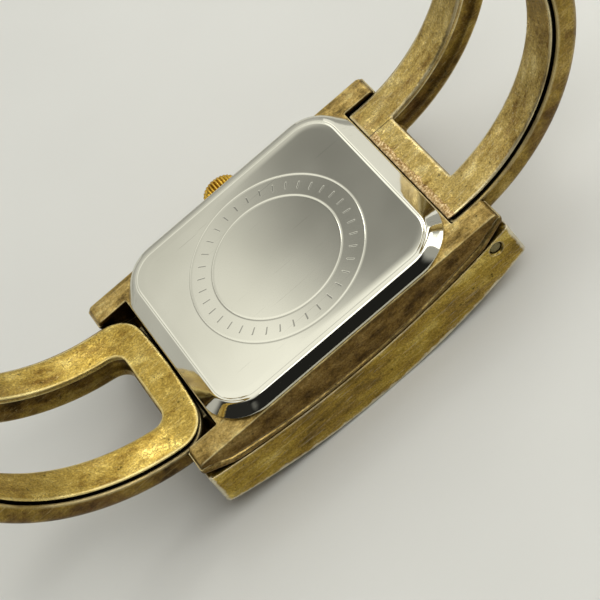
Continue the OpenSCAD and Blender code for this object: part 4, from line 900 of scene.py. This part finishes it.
def build_arm(arm):
    """An arm: the channel, the strip that lies in it and the knuckle on the pin."""
    far, far_r, far_bar, hole_half_w, hole_r = arm.length, 3.4, 3.3, 4.6, 1.0
    loop_skin(arm, loop_line(0, far, ARM_HALF_W, arm.corner, far_r),
              loop_line(arm.bar, far - far_bar, hole_half_w, arm.inner_corner, hole_r),
              CHANNEL_SECTION, arm.label + "_shell", CHANNEL_GOLD, [arm.label + "_channel"])
    # The strip lies inside the channel's outer wall and reaches a little past its inner one
    wall, past = 0.45, 0.1
    loop_skin(arm, loop_line(0, far, ARM_HALF_W - wall, max(arm.corner - 0.3, 0.15), far_r - 0.2),
              loop_line(arm.bar - past, far - far_bar + past, hole_half_w - past,
                        arm.inner_corner, hole_r),
              STRIP_SECTION, arm.label + "_face", STRIP_GOLD, [arm.label + "_strip"])
    build_knuckle(arm)


def build_crown():
    """The fluted crown with a chamfered, slightly domed face."""
    flutes, steps, neck_r, crown_r, flute = 32, 8, 1.22, 1.8, 0.16
    near, face = 11.1, 12.7

    def fluted(y, r, deep):
        """One ring of the crown, with flutes as deep as deep says."""
        points = []
        for i in range(flutes * steps):
            a = 2 * math.pi * i / (flutes * steps)
            wave = 0.5 + 0.5 * math.cos(2 * math.pi * i / steps)
            out = r - deep * wave ** 1.5
            points.append((out * math.cos(a), y, down(STEM_H) + out * math.sin(a)))
        return points

    # From inside the crown out to its face, by place along Y, radius and depth of the flutes
    profile = [(near + 0.9, neck_r, 0), (near, neck_r, 0), (near, 1.62, 0), (near + 0.03, 1.72, 0.06),
               (near + 0.1, crown_r, flute), (near + 0.8, crown_r, flute),
               (face - 0.28, crown_r, flute), (face - 0.2, 1.75, 0.13), (face - 0.1, 1.62, 0.05),
               (face - 0.04, 1.5, 0), (face - 0.01, 1.3, 0), (face, 0.9, 0)]
    bm = bmesh.new()
    made = loft(bm, [fluted(*row) for row in profile])
    cap(bm, made[-1])
    cap(bm, made[0])
    make_piece("fluted_crown", bm, CROWN_GOLD, "crown", ["crown"], smooth=50)


build_bezel()
build_mid_case()
build_case_back()
build_arm(Arm("right_arm", 1, r=14.3, cx=13.6, start=12.51, drop=0.0, corner=0.35,
              inner_corner=0.25, bar=2.65, knuckle=ARM_HALF_W - 0.15, bow=0.0))
build_arm(Arm("left_arm", -1, r=15.6, cx=13.3, start=12.66, drop=0.25, corner=3.0,
              inner_corner=1.3, bar=2.9, knuckle=6.0, bow=0.6))
build_pin(1, "right")
build_pin(-1, "left")
build_crown()

# The room's light, by azimuth and height of a patch's middle, the angles from there at which
# it starts and is full, in degrees, and its value outside and inside. A bright ceiling beyond
# the crown fades towards the floor, a darker corner shows in the plate, and the room is dark
# behind the camera and at the left.
CEILING = (95, 60, 60, 12, 0.47, 1.27)
DARK_PATCHES = [(82.5, 49.6, 7.2, 2.0, 1.0, 0.25), (98, 38, 15, 8, 1.0, 0.62),
                (-91, 38, 36, 20, 1.0, 0.04), (-161, 30, 43, 31, 1.0, 0.06)]
WINDOWS = [(58, 52, 7, 3, 0.0, 6.0), (-12, 28, 12, 7, 0.0, 0.9), (142, 18, 24, 12, 0.0, 0.14)]
# Soft boxes by azimuth and height in degrees, and size in metres and power in watts
SOFT_BOXES = [("soft_box", -10, 43, 0.2, 0.24), ("far_soft_box", 46, 27, 0.16, 0.045),
              ("front_soft_box", -72, 63, 0.12, 0.1)]
SOFT_BOX_FAR = 0.25
# The camera as the photograph has it: its place in millimetres, the way it looks, its roll in
# degrees, and its focal length and the picture's width in pixels
EYE = (0.788, -95.485, 111.86)
AHEAD = (-0.01110, 0.62813, -0.77803)
ROLL = -41.32
FOCAL_PX, PICTURE_PX = 1776.66, 600
SENSOR_W = 36.0


def toward(azimuth, height):
    """The direction at an azimuth and a height above the floor, in degrees."""
    a, e = math.radians(azimuth), math.radians(height)
    return Vector((math.cos(e) * math.cos(a), math.cos(e) * math.sin(a), math.sin(e)))


def lay_floor():
    """A pale painted board under the watch, just below the lowest point of its front."""
    half, gap = 3.0, 0.00002
    bm = bmesh.new()
    bmesh.ops.create_grid(bm, x_segments=1, y_segments=1, size=half)
    mesh = bpy.data.meshes.new("floor")
    bm.to_mesh(mesh)
    bm.free()
    floor = bpy.data.objects.new("floor", mesh)
    floor.location = (0, 0, down(0) * MM - gap)
    bpy.context.scene.collection.objects.link(floor)
    made, tree, shader, mm = start_material("painted board, matte")
    soft = add(tree, "TexNoise", {"Vector": mm, "Scale": 0.03, "Detail": 3.0}).outputs["Fac"]
    tone = add(tree, "ValToRGB", {0: soft}, stops=[
        (0.3, paint("#d6d5cd")), (0.7, paint("#dbdad2"))]).outputs[0]
    feed(tree, shader, {"Base Color": tone, "Roughness": 0.6})
    floor.data.materials.append(made)


def light_room():
    """The world: soft round patches of light and dark around the watch."""
    world = bpy.data.worlds.new("studio")
    bpy.context.scene.world = world
    world.use_nodes = True
    air = world.node_tree
    air.nodes.clear()
    way = add(air, "TexCoord").outputs["Generated"]

    def patch(azimuth, height, start, full, outside, inside):
        """One patch: its value by the angle between the way out and its middle."""
        near = add(air, "VectorMath", {0: way, 1: toward(azimuth, height)},
                   operation="DOT_PRODUCT").outputs["Value"]
        return add(air, "MapRange", {0: near, 1: math.cos(math.radians(start)),
                                     2: math.cos(math.radians(full)), 3: outside, 4: inside},
                   interpolation_type="SMOOTHSTEP").outputs[0]

    light = patch(*CEILING)
    for dark in DARK_PATCHES:
        light = add(air, "Math", {0: light, 1: patch(*dark)}, operation="MULTIPLY").outputs[0]
    for window in WINDOWS:
        light = add(air, "Math", {0: light, 1: patch(*window)}, operation="ADD").outputs[0]
    glow = add(air, "Background", {"Color": paint("#fefffd"), "Strength": light})
    add(air, "OutputWorld", {"Surface": glow.outputs[0]})


def hang_soft_boxes():
    """The square lamps, all equally far from the watch and turned to it."""
    for name, azimuth, height, size, power in SOFT_BOXES:
        panel = bpy.data.lights.new(name, "AREA")
        panel.shape, panel.size, panel.size_y = "RECTANGLE", size, size
        panel.energy = power
        box = bpy.data.objects.new(name, panel)
        box.location = SOFT_BOX_FAR * toward(azimuth, height)
        box.rotation_euler = Vector(box.location).to_track_quat("Z", "Y").to_euler()
        bpy.context.scene.collection.objects.link(box)


def set_camera():
    """The camera, rolled about the way it looks."""
    lens = bpy.data.cameras.new("camera")
    lens.sensor_width = SENSOR_W
    lens.lens = FOCAL_PX / PICTURE_PX * SENSOR_W
    lens.clip_start, lens.clip_end = 0.005, 20.0
    eye = bpy.data.objects.new("camera", lens)
    ahead = Vector(AHEAD).normalized()
    level = ahead.cross(Vector((0, 0, 1))).normalized()
    upright = level.cross(ahead)
    roll = math.radians(ROLL)
    right = math.cos(roll) * level + math.sin(roll) * upright
    up = right.cross(ahead)
    turn = Matrix((right, up, -ahead)).transposed().to_4x4()
    eye.matrix_world = Matrix.Translation(Vector(EYE) * MM) @ turn
    bpy.context.scene.collection.objects.link(eye)
    bpy.context.scene.camera = eye


lay_floor()
light_room()
hang_soft_boxes()
set_camera()
bpy.context.scene.view_settings.view_transform = "Standard"
